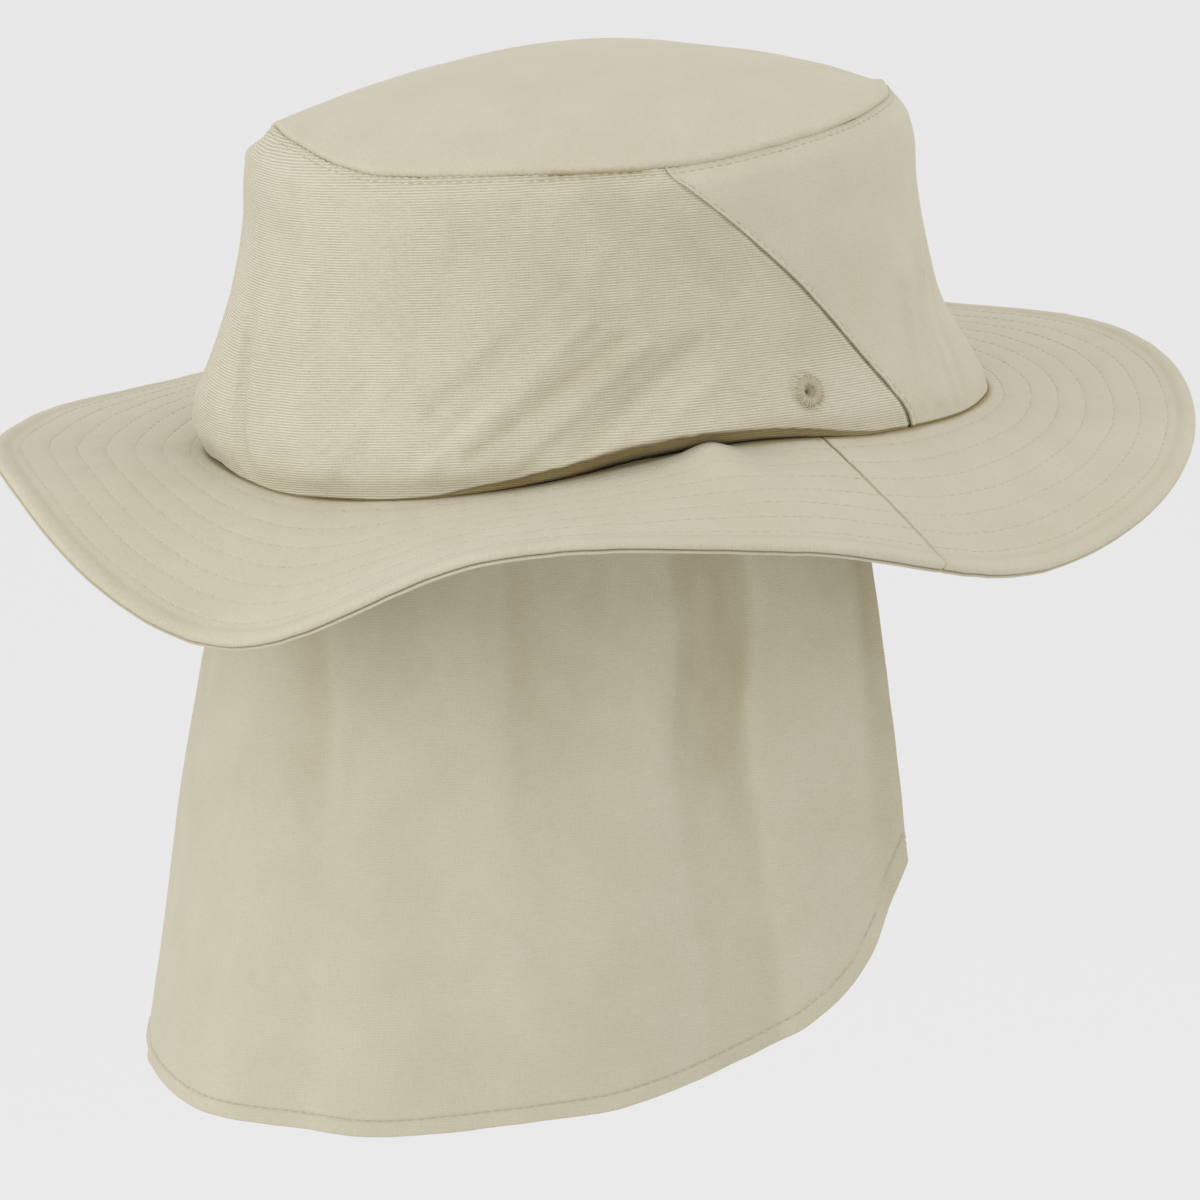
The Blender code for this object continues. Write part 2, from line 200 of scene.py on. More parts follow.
def ring(angle, length, width, squareness=2.0):
    """Plan of an oval ring, and its outward direction."""
    turn = np.radians(angle)
    side = np.sin(turn)
    front = np.cos(turn)
    reach = (np.abs(side) ** squareness + np.abs(front) ** squareness) ** (-1.0 / squareness)
    x = -0.5 * width * side * reach
    y = -0.5 * length * front * reach
    out = np.stack([x / width ** 2, y / length ** 2], -1)
    out = out / np.linalg.norm(out, axis=-1)[..., None]
    return np.stack([x, y], -1), out


def arc(angle, grown=0.0):
    """Length of one degree round the crown's base, or round a line that far outside it."""
    turn = np.radians(angle)
    across = (0.5 * CROWN_BASE_WIDTH + grown) * np.cos(turn)
    along = (0.5 * CROWN_BASE_LENGTH + grown) * np.sin(turn)
    return np.radians(np.hypot(across, along))


def blend(angle, front, side, back):
    """Mix of a front, a side and a back value by the angle round the head."""
    ahead = np.cos(np.radians(angle))
    return front * np.clip(ahead, 0, 1) ** 2 + back * np.clip(-ahead, 0, 1) ** 2 + side * (1 - ahead ** 2)


def brim_seam_height(angle):
    """Height of the seam between crown and brim."""
    return CROWN_HEIGHT * round_head(BRIM_SEAM_ROWS, 1, angle)


def tip_seam_height(angle):
    """Height of the seam between wall and tip."""
    return CROWN_HEIGHT * (1 + round_head(TIP_SEAM_ROWS, 1, angle))


def fold_depth(angle, height, folds):
    """How far folds move the wall outwards, as a share of the crown's height."""
    stretch = math.radians(0.25 * (CROWN_BASE_LENGTH + CROWN_BASE_WIDTH) / CROWN_HEIGHT)
    total = np.zeros(np.shape(angle + height))
    for start_angle, start_height, end_angle, end_height, half_width, depth in folds:
        along_x = (end_angle - start_angle) * stretch
        along_y = end_height - start_height
        from_x = signed(angle - start_angle) * stretch
        from_y = height - start_height
        share = np.clip((from_x * along_x + from_y * along_y) / (along_x ** 2 + along_y ** 2), 0, 1)
        away = (from_x - share * along_x) ** 2 + (from_y - share * along_y) ** 2
        total = total + depth * np.exp(-away / half_width ** 2)
    return total * np.clip(height / 0.06, 0, 1) * np.clip((1 - height) / 0.1, 0, 1)


def wall_limits(angle):
    """Lowest and highest point of the wall."""
    low = brim_seam_height(angle) + SEAM_GAP + CROWN_CLOTH * CROWN_EDGE_SLANT
    return low, tip_seam_height(angle) - CROWN_CLOTH - SEAM_GAP


def wall_point(angle, height):
    """Outer face of the crown's wall, from the brim seam at height 0 to the tip seam at 1."""
    base, out = ring(angle, CROWN_BASE_LENGTH, CROWN_BASE_WIDTH)
    top, _ = ring(angle, CROWN_TOP_LENGTH, CROWN_TOP_WIDTH, TIP_SQUARENESS)
    low, high = wall_limits(angle)
    stand = [through(column(WALL_ROWS, 0), column(WALL_ROWS, n), height) for n in (1, 2, 3)]
    stand = CROWN_HEIGHT * (blend(angle, *stand) + fold_depth(angle, height, WALL_FOLDS))
    share = np.asarray(height)[..., None]
    plan = base + (top - base) * share + out * stand[..., None]
    return np.concatenate([plan, (low + (high - low) * height)[..., None]], -1)


def facing(surface, angle, share, sign=1.0):
    """Outward direction of a surface, worked out from near points on it."""
    round_it = surface(angle + 0.3, share) - surface(angle - 0.3, share)
    up_it = surface(angle, np.minimum(share + 0.004, 1)) - surface(angle, np.maximum(share - 0.004, 0))
    outward = sign * np.cross(up_it, round_it)
    return outward / np.linalg.norm(outward, axis=-1)[..., None]


def seam_angle(height):
    """Angle of the diagonal seam between the wall's panels."""
    straight = SEAM_BASE_ANGLE + (SEAM_TOP_ANGLE - SEAM_BASE_ANGLE) * height
    return straight - SEAM_BOW * 4 * height * (1 - height)


def past_seam(angle, height):
    """Distance from the nearer diagonal seam, above 0 on the rear panel."""
    return (np.abs(signed(angle)) - seam_angle(height)) * arc(angle)


def wall_relief(angle, height):
    """Puckers, welts and soft unevenness that stand out from the wall's smooth shape."""
    low, high = wall_limits(angle)
    rise = height * (high - low)
    drop = (high - low) - rise
    turns = angle / 360
    relief = 0.45 * MM * unevenness(turns * 18, rise / 0.026, 3, 18) * step_up(drop / 0.012)
    relief += 0.12 * MM * unevenness(turns * 74, rise / 0.008, 4, 74)
    relief += 0.40 * MM * unevenness(turns * 60, rise / 0.016, 5, 60) * np.exp(-rise / 0.006)
    relief += 0.25 * MM * unevenness(turns * 84, drop / 0.012, 6, 84) * np.exp(-drop / 0.006)
    relief += CROWN_HEIGHT * fold_depth(angle, height, CLOTH_FOLDS)
    relief += 0.18 * MM * rope(angle, drop) * bump((drop - 0.3 * MM) / (0.6 * MM))
    relief -= 0.16 * MM * bump((drop - TOPSTITCH_DROP) / (0.35 * MM)) * (1 + 0.5 * rope(angle, drop))
    return relief


def rope(angle, drop):
    """The slanting twist that the topstitches give the tip's seam, between -1 and 1."""
    return np.cos(2 * math.pi * (angle * arc(90) * 0.8 / STITCH_PITCH + drop / 0.004))


def open_seam(angle):
    """1 where the tip seam gapes, over the wearer's ears."""
    return step_up((10.5 - np.abs(np.abs(signed(angle)) - 105)) / 4.0)


def horn(angle):
    """The seam allowances poke up a little at both ends of the tip's oval."""
    return HORN_RISE * (bump(signed(angle - 186.0) / 4.0) + 0.8 * bump(signed(angle - 13.0) / 3.5))


def lip_bulge(angle):
    """How much the wall's turned lower edge bulges, 1 where it bulges fully."""
    return np.clip(round_head(LIP_ROWS, 1, angle), 0.1, 2)


def wall_cloth(angle, height):
    """Outer face of the wall's cloth, with its bulging lower edge and its relief."""
    angle, height = paired(angle, height)
    low, high = wall_limits(angle)
    rise = height * (high - low)
    lip = lip_bulge(angle)
    lip_height = LIP_HEIGHT * lip
    ragged = 0.35 * MM * unevenness(angle / 360 * 260, 0, 13, 260) * step_up(lip / 0.5)
    over = step_up((rise - ragged - 0.55 * lip_height) / (0.40 * lip_height))
    over = over * np.exp(-np.clip(rise - lip_height, 0, 1) / 0.009)
    _, out = ring(angle, CROWN_BASE_LENGTH, CROWN_BASE_WIDTH)
    point = wall_point(angle, height)
    point = point + facing(wall_point, angle, height) * wall_relief(angle, height)[..., None]
    tuck = LIP_RECESS * lip * (1 - step_up(rise / (0.5 * lip_height)))
    turned_in = step_up(1 - ((high - low) - rise) / TOP_TURN)
    deep = (0.6 + 0.5 * open_seam(angle)) * MM * turned_in
    point[..., :2] += out * (LIP_OVERHANG * lip * over - tuck - deep)[..., None]
    point[..., 2] += 1.1 * MM * turned_in + horn(angle) * step_up(1 - ((high - low) - rise) / 0.005)
    point[..., 2] -= 1.3 * MM * (1 - step_up(rise / (1.5 * MM)))
    return point


def wall_painted_shade(angle, height):
    """Painted shade on the wall's cloth: 1 deep in a seam, 0 on the open face; darker under the bulging lip,
    in the tip seam's groove and faintly in the hollows of the folds.
    """
    low, high = wall_limits(angle)
    rise = height * (high - low)
    lip_height = LIP_HEIGHT * lip_bulge(angle)
    # Painted shade under the bulging lower lip, in the tip seam's groove (stronger where it gapes) and
    # faintly in the hollows of the narrow folds.
    under = 1 - step_up((rise - 0.70 * lip_height) / (0.45 * lip_height))
    at_tip = (0.3 + 0.6 * open_seam(angle)) * (1 - step_up(((high - low) - rise) / (0.8 * MM)))
    hollow = 0.10 * np.clip(-fold_depth(angle, height, CLOTH_FOLDS) / 0.010, 0, 1)
    return np.maximum(np.maximum(under, at_tip), hollow)


def seam_depth(height):
    """How open the diagonal seam's groove is: nearly closed at the top, a wedge at the bottom."""
    return 0.45 + 0.55 * step_up((0.86 - height) / 0.2) + 0.5 * step_up((0.10 - height) / 0.1)


def rear_cloth(angle, height):
    """The rear panel dips under the front panel at the diagonal seams."""
    beyond = past_seam(angle, height)
    wobble = 0.3 * MM * unevenness(height * 34, 0, 11)
    dip = -0.52 * MM * seam_depth(height) * (1 - step_up((beyond + wobble) / (1.5 * MM)))
    dip = dip + 0.25 * MM * bump((beyond - 2.7 * MM) / (1.0 * MM))
    return wall_cloth(angle, height) + facing(wall_point, angle, height) * dip[..., None]


def rear_painted_shade(angle, height):
    """Painted shade on the rear panel: the wall's painted shade, made darker in the groove of the diagonal
    seams, in a ring round each eyelet and in blotches on the panel's sides.
    """
    wobble = 0.3 * MM * unevenness(height * 34, 0, 11)
    beyond = past_seam(angle, height) + wobble
    # Painted shade in the groove of the diagonal seams.
    groove = 0.42 * seam_depth(height) * (1 - step_up((beyond - 0.2 * MM) / (1.4 * MM)))
    low, high = wall_limits(angle)
    beside_eyelet = (np.abs(signed(angle)) - EYELET_ANGLE - 0.4) * arc(EYELET_ANGLE)
    from_eyelet = np.hypot(beside_eyelet, (height - EYELET_HEIGHT) * (high - low))
    # Painted shade in a ring just outside each eyelet's stitched edge.
    bound = 0.45 * bump((from_eyelet - 4.4 * MM) / (0.6 * MM))
    # Painted shade in blotches on the panel's sides, which turn away from the lamps.
    side = step_up((128 - np.abs(signed(angle))) / 24)
    patch = patches(angle / 360, height, (34, 6, 14), (110, 17, 15))
    shaded = side * (0.26 * patch - 0.02) * step_up((height - 0.12) / 0.25)
    return np.clip(np.maximum(wall_painted_shade(angle, height), groove) + shaded + bound, 0, 1)


def wall_grid(first, last, step, surface, crease_shade):
    """Points on the wall between two angles that change with the height, their cloth map and their painted
    shade.
    """
    wide = (last(0.5) - first(0.5)) * arc(90) * 0.95
    across = np.linspace(0, wide, int(wide / step))
    across = np.union1d(across, [0.2 * MM, 0.5 * MM, wide - 0.5 * MM, wide - 0.2 * MM]) / wide
    lip_rows = np.array([0, 0.25, 0.45, 0.56, 0.63, 0.70, 0.77, 0.84, 0.92, 1.0, 1.12, 1.3, 1.6])
    top_rows = MM * np.array([
        6, 5, 4.2, 3.5, 3.0, 2.6, 2.3, 2.1, 1.9, 1.7, 1.5, 1.25, 1.0, 0.75, 0.5, 0.3, 0.15, 0,
    ])
    middle_rows = np.linspace(0, 1, 54)[1:-1]
    row_count = len(lip_rows) + len(top_rows) + len(middle_rows)
    height = np.linspace(0, 1, row_count)[None] + 0 * across[:, None]
    for _ in range(3):
        angle = first(height) + (last(height) - first(height)) * across[:, None]
        low, high = wall_limits(angle)
        tall = high - low
        bottom = LIP_HEIGHT * (lip_bulge(angle) / tall)[:, :len(lip_rows)] * lip_rows
        top = 1 - top_rows / tall[:, -len(top_rows):]
        middle = bottom[:, -1:] + (top[:, :1] - bottom[:, -1:]) * middle_rows
        height = np.concatenate([bottom, middle, top], 1)
    points = surface(angle, height)
    level = points[..., 2] - RIB_RISE * np.hypot(points[..., 0], 0.025) - RIB_SLANT * points[..., 1]
    return points, np.stack([angle * arc(90), level], -1), crease_shade(angle, height)


def cloth_piece(
    name, face, thickness, round_edge, cloth_map, crease_shade, closed=False, pole=False, left_out=(),
):
    """A closed piece of cloth made from the grid of its outer face, with rounded edges.

    The grid's lines go round the head one after another, and each runs inwards or upwards.
    """
    count, rows = face.shape[:2]
    along = np.roll(face, -1, 0) - np.roll(face, 1, 0) if closed else np.gradient(face, axis=0)
    outward = np.cross(np.gradient(face, axis=1), along)
    if pole:
        outward[:, -1] = outward[:, -3].mean(0)
    outward /= np.linalg.norm(outward, axis=-1)[..., None]
    reach = np.cumsum(np.linalg.norm(np.diff(face, axis=1), axis=-1), 1)
    reach = np.concatenate([np.zeros((count, 1)), reach], 1)
    near = reach if pole else np.minimum(reach, reach[:, -1:] - reach)
    if not closed:
        reach = np.cumsum(np.linalg.norm(np.diff(face, axis=0), axis=-1), 0)
        reach = np.concatenate([np.zeros((1, rows)), reach], 0)
        near = np.minimum(near, np.minimum(reach, reach[-1:] - reach))
    full = np.sqrt(1 - (1 - np.clip(near / round_edge, 0, 1)) ** 2)[..., None]
    thick = np.broadcast_to(thickness, (count, rows))[..., None]
    outer = face - outward * thick * (1 - full) / 2
    inner = face - outward * thick * (1 + full) / 2
    total = count * rows
    outer_index = np.arange(total).reshape(count, rows)
    if pole:
        outer_index[:, -1] = outer_index[0, -1]
    inner_index = np.where(near <= 0, outer_index, outer_index + total)
    faces = []
    left_out = set(left_out)
    for i in range(count if closed else count - 1):
        k = (i + 1) % count
        for j in range(rows - 1):
            corners = [(i, j), (i, j + 1), (k, j + 1), (k, j)]
            if (i, j) in left_out:
                sides = [(i - 1, j), (i, j + 1), (i + 1, j), (i, j - 1)]
                for side, start, end in zip(sides, corners, corners[1:] + corners[:1]):
                    if side not in left_out:
                        rim = (outer_index[start], outer_index[end], inner_index[end], inner_index[start])
                        faces.append(rim)
                continue
            if pole and j == rows - 2:
                corners = corners[:2] + corners[3:]
            faces.append([outer_index[c] for c in corners])
            faces.append([inner_index[c] for c in reversed(corners)])
    points = np.concatenate([outer.reshape(-1, 3), inner.reshape(-1, 3)])
    if pole:
        points[outer_index[0, -1]] = outer[:, -1].mean(0)
        points[outer_index[0, -1] + total] = inner[:, -1].mean(0)
    cloth_map = np.concatenate([cloth_map.reshape(-1, 2)] * 2)
    return mesh_piece(name, points, faces, cloth_map, np.concatenate([crease_shade.ravel()] * 2))


def mesh_piece(name, points, faces, cloth_map=None, crease_shade=None):
    """An object from points and faces, with the points that no face uses left out."""
    used = np.unique(np.concatenate([np.asarray(f) for f in faces]))
    number = np.zeros(len(points), int)
    number[used] = np.arange(len(used))
    mesh = bpy.data.meshes.new(name)
    mesh.from_pydata(points[used].tolist(), [], [number[list(f)].tolist() for f in faces])
    if cloth_map is not None:
        corner = np.empty(len(mesh.loops), int)
        mesh.loops.foreach_get("vertex_index", corner)
        layer = mesh.uv_layers.new(name="cloth")
        layer.data.foreach_set("uv", cloth_map[used][corner].astype(np.float32).ravel())
    # Per-point painted shade value, which the cloth's shader reads to darken the colour.
    if crease_shade is not None:
        attribute = mesh.attributes.new("crease_shade", "FLOAT", "POINT")
        attribute.data.foreach_set("value", crease_shade[used].astype(np.float32))
    mesh.shade_smooth()
    item = bpy.data.objects.new(name, mesh)
    bpy.context.scene.collection.objects.link(item)
    return item


class Wire:
    """A value or colour in a material, which can be added to, multiplied and passed on."""

    def __init__(self, tree, socket=None):
        self.tree = tree
        self.socket = socket

    def node(self, kind, settings=(), values=(), output=0):
        """A node with its settings made first, then its sockets filled with numbers or other wires."""
        node = self.tree.nodes.new(kind)
        for name, value in dict(settings).items():
            setattr(node, name, value)
        for name, value in dict(values).items():
            if isinstance(value, Wire):
                self.tree.links.new(value.socket, node.inputs[name])
            else:
                node.inputs[name].default_value = value
        return Wire(self.tree, node.outputs[output])

    def maths(self, operation, first, second=0.0):
        return self.node("ShaderNodeMath", {"operation": operation}, {0: first, 1: second})

    def __add__(self, other):
        return self.maths("ADD", self, other)

    def __radd__(self, other):
        return self.maths("ADD", other, self)

    def __sub__(self, other):
        return self.maths("SUBTRACT", self, other)

    def __rsub__(self, other):
        return self.maths("SUBTRACT", other, self)

    def __mul__(self, other):
        return self.maths("MULTIPLY", self, other)

    def __rmul__(self, other):
        return self.maths("MULTIPLY", other, self)

    def sine(self):
        return self.maths("SINE", self)

    def place(self, x, y):
        """This place stretched by two numbers."""
        return self.node("ShaderNodeVectorMath", {"operation": "MULTIPLY"}, {0: self, 1: (x, y, 1.0)})

    def noise(self, scale, detail=2.0):
        """Soft noise from -0.5 to 0.5 at this place."""
        values = {"Vector": self, "Scale": scale, "Detail": detail}
        return self.node("ShaderNodeTexNoise", {"noise_dimensions": "2D"}, values) - 0.5


def new_paint(name):
    """A new material, its node tree and its shader."""
    item = bpy.data.materials.new(name)
    item.use_nodes = True
    return item, item.node_tree, item.node_tree.nodes["Principled BSDF"]


def woven_cloth(name, light, dark, rib, uneven=1.0):
    """Matte nylon cloth: level ribs, uneven yarns both ways, grain and soft mottling, and painted shade,
    where the colour is multiplied towards a dark brown by a per-point shade value stored on the mesh.
    """
    item, tree, shader = new_paint(name)
    start = Wire(tree)
    place = start.node("ShaderNodeUVMap", {"uv_map": "cloth"})
    across = start.node("ShaderNodeSeparateXYZ", {}, {0: place})
    up = Wire(tree, across.socket.node.outputs[1])
    drift = place.noise(160.0)
    ribs = ((up + drift * 0.0002) * (2 * math.pi / RIB_PITCH)).sine()
    yarns = ((across + drift * 0.0004) * (2 * math.pi / YARN_PITCH)).sine()
    level_slubs = place.place(1.0, 9.0).noise(260.0, 3.0)
    upright_slubs = place.place(8.0, 1.0).noise(240.0, 3.0)
    grain = place.noise(1900.0, 1.0)
    mottle = place.noise(60.0, 4.0)
    cloud = place.noise(14.0, 2.0)
    tone = level_slubs * (0.55 * rib + 0.25) + upright_slubs * 0.35
    tone = tone + grain * 0.60 + mottle * 0.40 + cloud * 0.35
    tone = ribs * (0.40 * rib) + yarns * (0.05 * rib) + tone * uneven + 0.62
    colours = {0: tone, 6: (*dark, 1.0), 7: (*light, 1.0)}
    settings = {"data_type": "RGBA", "clamp_factor": True}
    colour = start.node("ShaderNodeMix", settings, colours, output=2)
    # Painted shade: the cloth colour is multiplied towards a dark brown by the per-point shade value, in
    # seams, grooves, fold hollows and under the brim.
    crease_shade = start.node("ShaderNodeAttribute", {"attribute_name": "crease_shade"}, output=2)
    settings = {"data_type": "RGBA", "blend_type": "MULTIPLY"}
    shade_mix = {0: crease_shade, 6: colour, 7: (*SHADE_TINT, 1.0)}
    colour = start.node("ShaderNodeMix", settings, shade_mix, output=2)
    height = ribs * (0.030 * rib) + yarns * 0.006 + level_slubs * (0.05 * rib + 0.02)
    height = (height + upright_slubs * 0.035 + grain * 0.045 + mottle * 0.10) * 0.001
    bumped = start.node("ShaderNodeBump", {}, {"Height": height, "Distance": 1.0, "Strength": 0.9})
    rough = 0.84 + grain * 0.12 + mottle * 0.08
    tree.links.new(colour.socket, shader.inputs["Base Color"])
    tree.links.new(bumped.socket, shader.inputs["Normal"])
    tree.links.new(rough.socket, shader.inputs["Roughness"])
    shader.inputs["Sheen Weight"].default_value = 0.12
    shader.inputs["Sheen Roughness"].default_value = 0.45
    shader.inputs["Specular IOR Level"].default_value = 0.25
    return item


def finish_piece(item, cloth, node):
    """Give a piece its cloth, put it on the hat's body and let it stand for its solid."""
    if cloth is not None:
        item.data.materials.clear()
        item.data.materials.append(cloth)
    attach(item, "root")
    if node is not None:
        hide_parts(node)


LIGHT_CLOTH = (0.620, 0.584, 0.462)
DARK_CLOTH = (0.507, 0.468, 0.340)
LIGHT_RIB = (0.676, 0.640, 0.520)
DARK_RIB = (0.425, 0.380, 0.250)
# The dark brown that painted shade multiplies the cloth towards.
SHADE_TINT = (0.56, 0.48, 0.29)
RIB_PITCH = 0.00068
YARN_PITCH = 0.00052
LAP = 0.0026
EYELET_BORE = 0.0023

ribbed_cloth = woven_cloth("ribbed_khaki_cloth", LIGHT_RIB, DARK_RIB, rib=1.0, uneven=0.6)
# The rear panel's points, cloth map and painted shade.
rear_face, rear_map, rear_shade = wall_grid(
    lambda height: seam_angle(height) - LAP / arc(75),
    lambda height: 360 - seam_angle(height) + LAP / arc(75),
    WALL_GRID_STEP, rear_cloth, rear_painted_shade,
)
bored = []
for eyelet_angle in (EYELET_ANGLE, 360 - EYELET_ANGLE):
    middle = rear_cloth(eyelet_angle, EYELET_HEIGHT)
    quads = (rear_face[:-1, :-1] + rear_face[1:, 1:]) / 2
    inside_bore = np.linalg.norm(quads - middle, axis=-1) < EYELET_BORE
    bored += [tuple(quad) for quad in np.argwhere(inside_bore).tolist()]
rear_panel = cloth_piece(
    "crown_rear_cloth", rear_face, PANEL_CLOTH, 0.4 * MM, rear_map, rear_shade, left_out=bored,
)
finish_piece(rear_panel, ribbed_cloth, "crown_rear_panel")

# --- Crown front panel -------------------------------------------------------------------------------
# The front of the crown's wall, the same cloth cut on another grain so that its ribs hardly show. Its
# slanting edges are folded under, lapped over the rear panel and stitched down, which leaves a raised
# ridge with a dark groove beside it.
RIDGE = 0.00045


def front_cloth(angle, height):
    """The front panel has a folded ridge along the diagonal seams, with a stitched dent beside it."""
    inside = -past_seam(angle, height)
    ridge = RIDGE * bump((inside - 0.7 * MM) / (0.9 * MM))
    ridge -= 0.15 * MM * bump((inside - 2.3 * MM) / (0.5 * MM))
    tuck = 0.22 * MM * unevenness(height * 34, 0, 12) * bump((inside - 1.5 * MM) / (2.5 * MM))
    return wall_cloth(angle, height) + facing(wall_point, angle, height) * (ridge + tuck)[..., None]


plain_cloth = woven_cloth("khaki_cloth", LIGHT_CLOTH, DARK_CLOTH, rib=0.15)
# The front panel's points, cloth map and painted shade.
front_face, front_map, front_shade = wall_grid(
    lambda height: -seam_angle(height), seam_angle, 0.75 * MM, front_cloth, wall_painted_shade,
)
front_panel = cloth_piece(
    "crown_front_cloth", front_face, PANEL_CLOTH, 0.7 * MM, front_map, front_shade,
)
finish_piece(front_panel, plain_cloth, "crown_front_panel")

# --- Stitches of the side seams ----------------------------------------------------------------------
# One row of lockstitches in polyester thread runs down each diagonal seam, close to the fold. Each
# stitch is a short twisted length of thread whose ends dive into the cloth.
THREAD_WIDTH = 0.00042
STITCH_LENGTH = 0.0021
SEAM_ROW_INSIDE = 0.0021
THREAD_SINKS = 0.00003


def thread_group(name, numbers, counts=()):
    """A geometry node group with named inputs, and a function that adds nodes to it."""
    tree = bpy.data.node_groups.new(name, "GeometryNodeTree")
    tree.is_modifier = True
    inputs = [("Geometry", "Geometry"), *[(number, "Float") for number in numbers]]
    inputs += [*[(count, "Int") for count in counts], ("Thread", "Material")]
    for input_name, kind in inputs:
        tree.interface.new_socket(input_name, in_out="INPUT", socket_type="NodeSocket" + kind)
    tree.interface.new_socket("Geometry", in_out="OUTPUT", socket_type="NodeSocketGeometry")

    def node(kind, values=(), **settings):
        made = tree.nodes.new(kind)
        for setting, value in settings.items():
            setattr(made, setting, value)
        for socket, value in dict(values).items():
            if isinstance(value, bpy.types.NodeSocket):
                tree.links.new(value, made.inputs[socket])
            else:
                made.inputs[socket].default_value = value
        return made

    return tree, node


def end_group(tree, node, geometry, thread):
    """Smooth what a group has laid, give it its thread and hand it out."""
    smooth = node("GeometryNodeSetShadeSmooth", {"Geometry": geometry}).outputs[0]
    done = node("GeometryNodeSetMaterial", {"Geometry": smooth, "Material": thread}).outputs[0]
    tree.links.new(done, node("NodeGroupOutput").inputs[0])


def lay_thread(item, group, given):
    """Run a node group on an object and keep what it lays as a plain mesh."""
    modifier = item.modifiers.new("Thread", "NODES")
    modifier.node_group = group
    for socket in group.interface.items_tree:
        if socket.in_out == "INPUT" and socket.name in given:
            modifier[socket.identifier] = given[socket.name]
    graph = bpy.context.evaluated_depsgraph_get()
    made = bpy.data.meshes.new_from_object(item.evaluated_get(graph))
    item.modifiers.remove(modifier)
    item.data = made
    return made


def stitch_rows():
    """Geometry nodes that lay one thread stitch after another along lines drawn on the cloth."""
    tree, node = thread_group("Rows of stitches", ("Pitch", "Stitch length", "Thread width"))
    given = node("NodeGroupInput").outputs
    line = node("GeometryNodeMeshToCurve", {"Mesh": given["Geometry"]}).outputs[0]
    even = {"Curve": line, "Length": given["Pitch"]}
    even = node("GeometryNodeResampleCurve", even, mode="LENGTH").outputs[0]
    tangent = node("GeometryNodeInputTangent").outputs[0]
    off_cloth = {"Name": "off_cloth"}
    off_cloth = node("GeometryNodeInputNamedAttribute", off_cloth, data_type="FLOAT_VECTOR").outputs[0]
    along = node("FunctionNodeAlignRotationToVector", {"Vector": tangent}, axis="X").outputs[0]
    turned = {"Rotation": along, "Vector": off_cloth}
    turned = node("FunctionNodeAlignRotationToVector", turned, axis="Z", pivot_axis="X").outputs[0]
    ball = node("GeometryNodeMeshUVSphere", {"Segments": 6, "Rings": 4, "Radius": 0.5}).outputs[0]
    size = {0: given["Stitch length"], 1: given["Thread width"], 2: given["Thread width"]}
    size = node("ShaderNodeCombineXYZ", size).outputs[0]
    thread = node("GeometryNodeTransform", {"Geometry": ball, "Scale": size}).outputs[0]
    vary = {2: 0.86, 3: 1.12, "Seed": 5}
    vary = node("FunctionNodeRandomValue", vary, data_type="FLOAT").outputs[1]
    placed = {"Points": even, "Instance": thread, "Rotation": turned, "Scale": vary}
    laid = node("GeometryNodeInstanceOnPoints", placed).outputs[0]
    real = node("GeometryNodeRealizeInstances", {"Geometry": laid}).outputs[0]
    end_group(tree, node, real, given["Thread"])
    return tree


stitching = stitch_rows()


def sew(name, lines, thread, pitch=STITCH_PITCH, length=STITCH_LENGTH, width=THREAD_WIDTH):
    """Stitches along lines, each given as its points and the directions off the cloth there."""
    points, edges, off_cloth = [], [], []
    for places, outward in lines:
        first = len(points)
        points += places.tolist()
        off_cloth += outward.tolist()
        edges += [(first + n, first + n + 1) for n in range(len(places) - 1)]
    mesh = bpy.data.meshes.new(name + "_lines")
    mesh.from_pydata(points, edges, [])
    attribute = mesh.attributes.new("off_cloth", "FLOAT_VECTOR", "POINT")
    attribute.data.foreach_set("vector", np.array(off_cloth, np.float32).ravel())
    item = bpy.data.objects.new(name, mesh)
    bpy.context.scene.collection.objects.link(item)
    given = {"Pitch": pitch, "Stitch length": length, "Thread width": width, "Thread": thread}
    lay_thread(item, stitching, given).name = name
    return item


def sewing_thread(name, colour):
    """Twisted polyester thread: a fine fuzzy grain, soft changes of tone and a slight gloss."""
    item, tree, shader = new_paint(name)
    start = Wire(tree)
    place = start.node("ShaderNodeTexCoord", output=3)
    fuzz = {"Vector": place, "Scale": 3500.0, "Detail": 1.0}
    fuzz = start.node("ShaderNodeTexNoise", {}, fuzz) - 0.5
    broad = {"Vector": place, "Scale": 90.0, "Detail": 2.0}
    broad = start.node("ShaderNodeTexNoise", {}, broad) - 0.5
    dark = [0.78 * part for part in colour]
    mixed = {0: 0.5 + fuzz * 0.9 + broad * 0.8, 6: (*dark, 1.0), 7: (*colour, 1.0)}
    tone = start.node("ShaderNodeMix", {"data_type": "RGBA"}, mixed, output=2)
    height = {"Height": fuzz * 0.00008, "Distance": 1.0, "Strength": 0.8}
    bumped = start.node("ShaderNodeBump", {}, height)
    tree.links.new(tone.socket, shader.inputs["Base Color"])
    tree.links.new(bumped.socket, shader.inputs["Normal"])
    shader.inputs["Roughness"].default_value = 0.62
    return item


def line_on(surface, angle, share, lift, sign=1.0):
    """Points along a surface, lifted off it, with the directions off the cloth."""
    angle, share = paired(angle, share)
    outward = facing(surface, angle, share, sign)
    return surface(angle, share) + outward * lift, outward


khaki_thread = sewing_thread("khaki_thread", (0.54, 0.49, 0.36))
run_down = np.linspace(0.03, 0.968, 220)
seam_lines = []
for side in (1, -1):
    across = (seam_angle(run_down) - SEAM_ROW_INSIDE / arc(EYELET_ANGLE)) * side
    seam_lines.append(line_on(front_cloth, across, run_down, -0.02 * MM))
side_stitches = sew("side_seam_stitches", seam_lines, khaki_thread)
finish_piece(side_stitches, None, None)

# --- Eyelets -----------------------------------------------------------------------------------------
# A vent hole low on each side of the rear panel, bound with close radial stitches of the same thread.
# The wraps lie side by side over a ring and leave a small open hole.
EYELET_RADIUS = 0.0043
EYELET_HOLE = 0.0016
EYELET_WRAPS = 30
WRAP_WIDTH = 0.00072
WRAP_HEIGHT = 0.0015


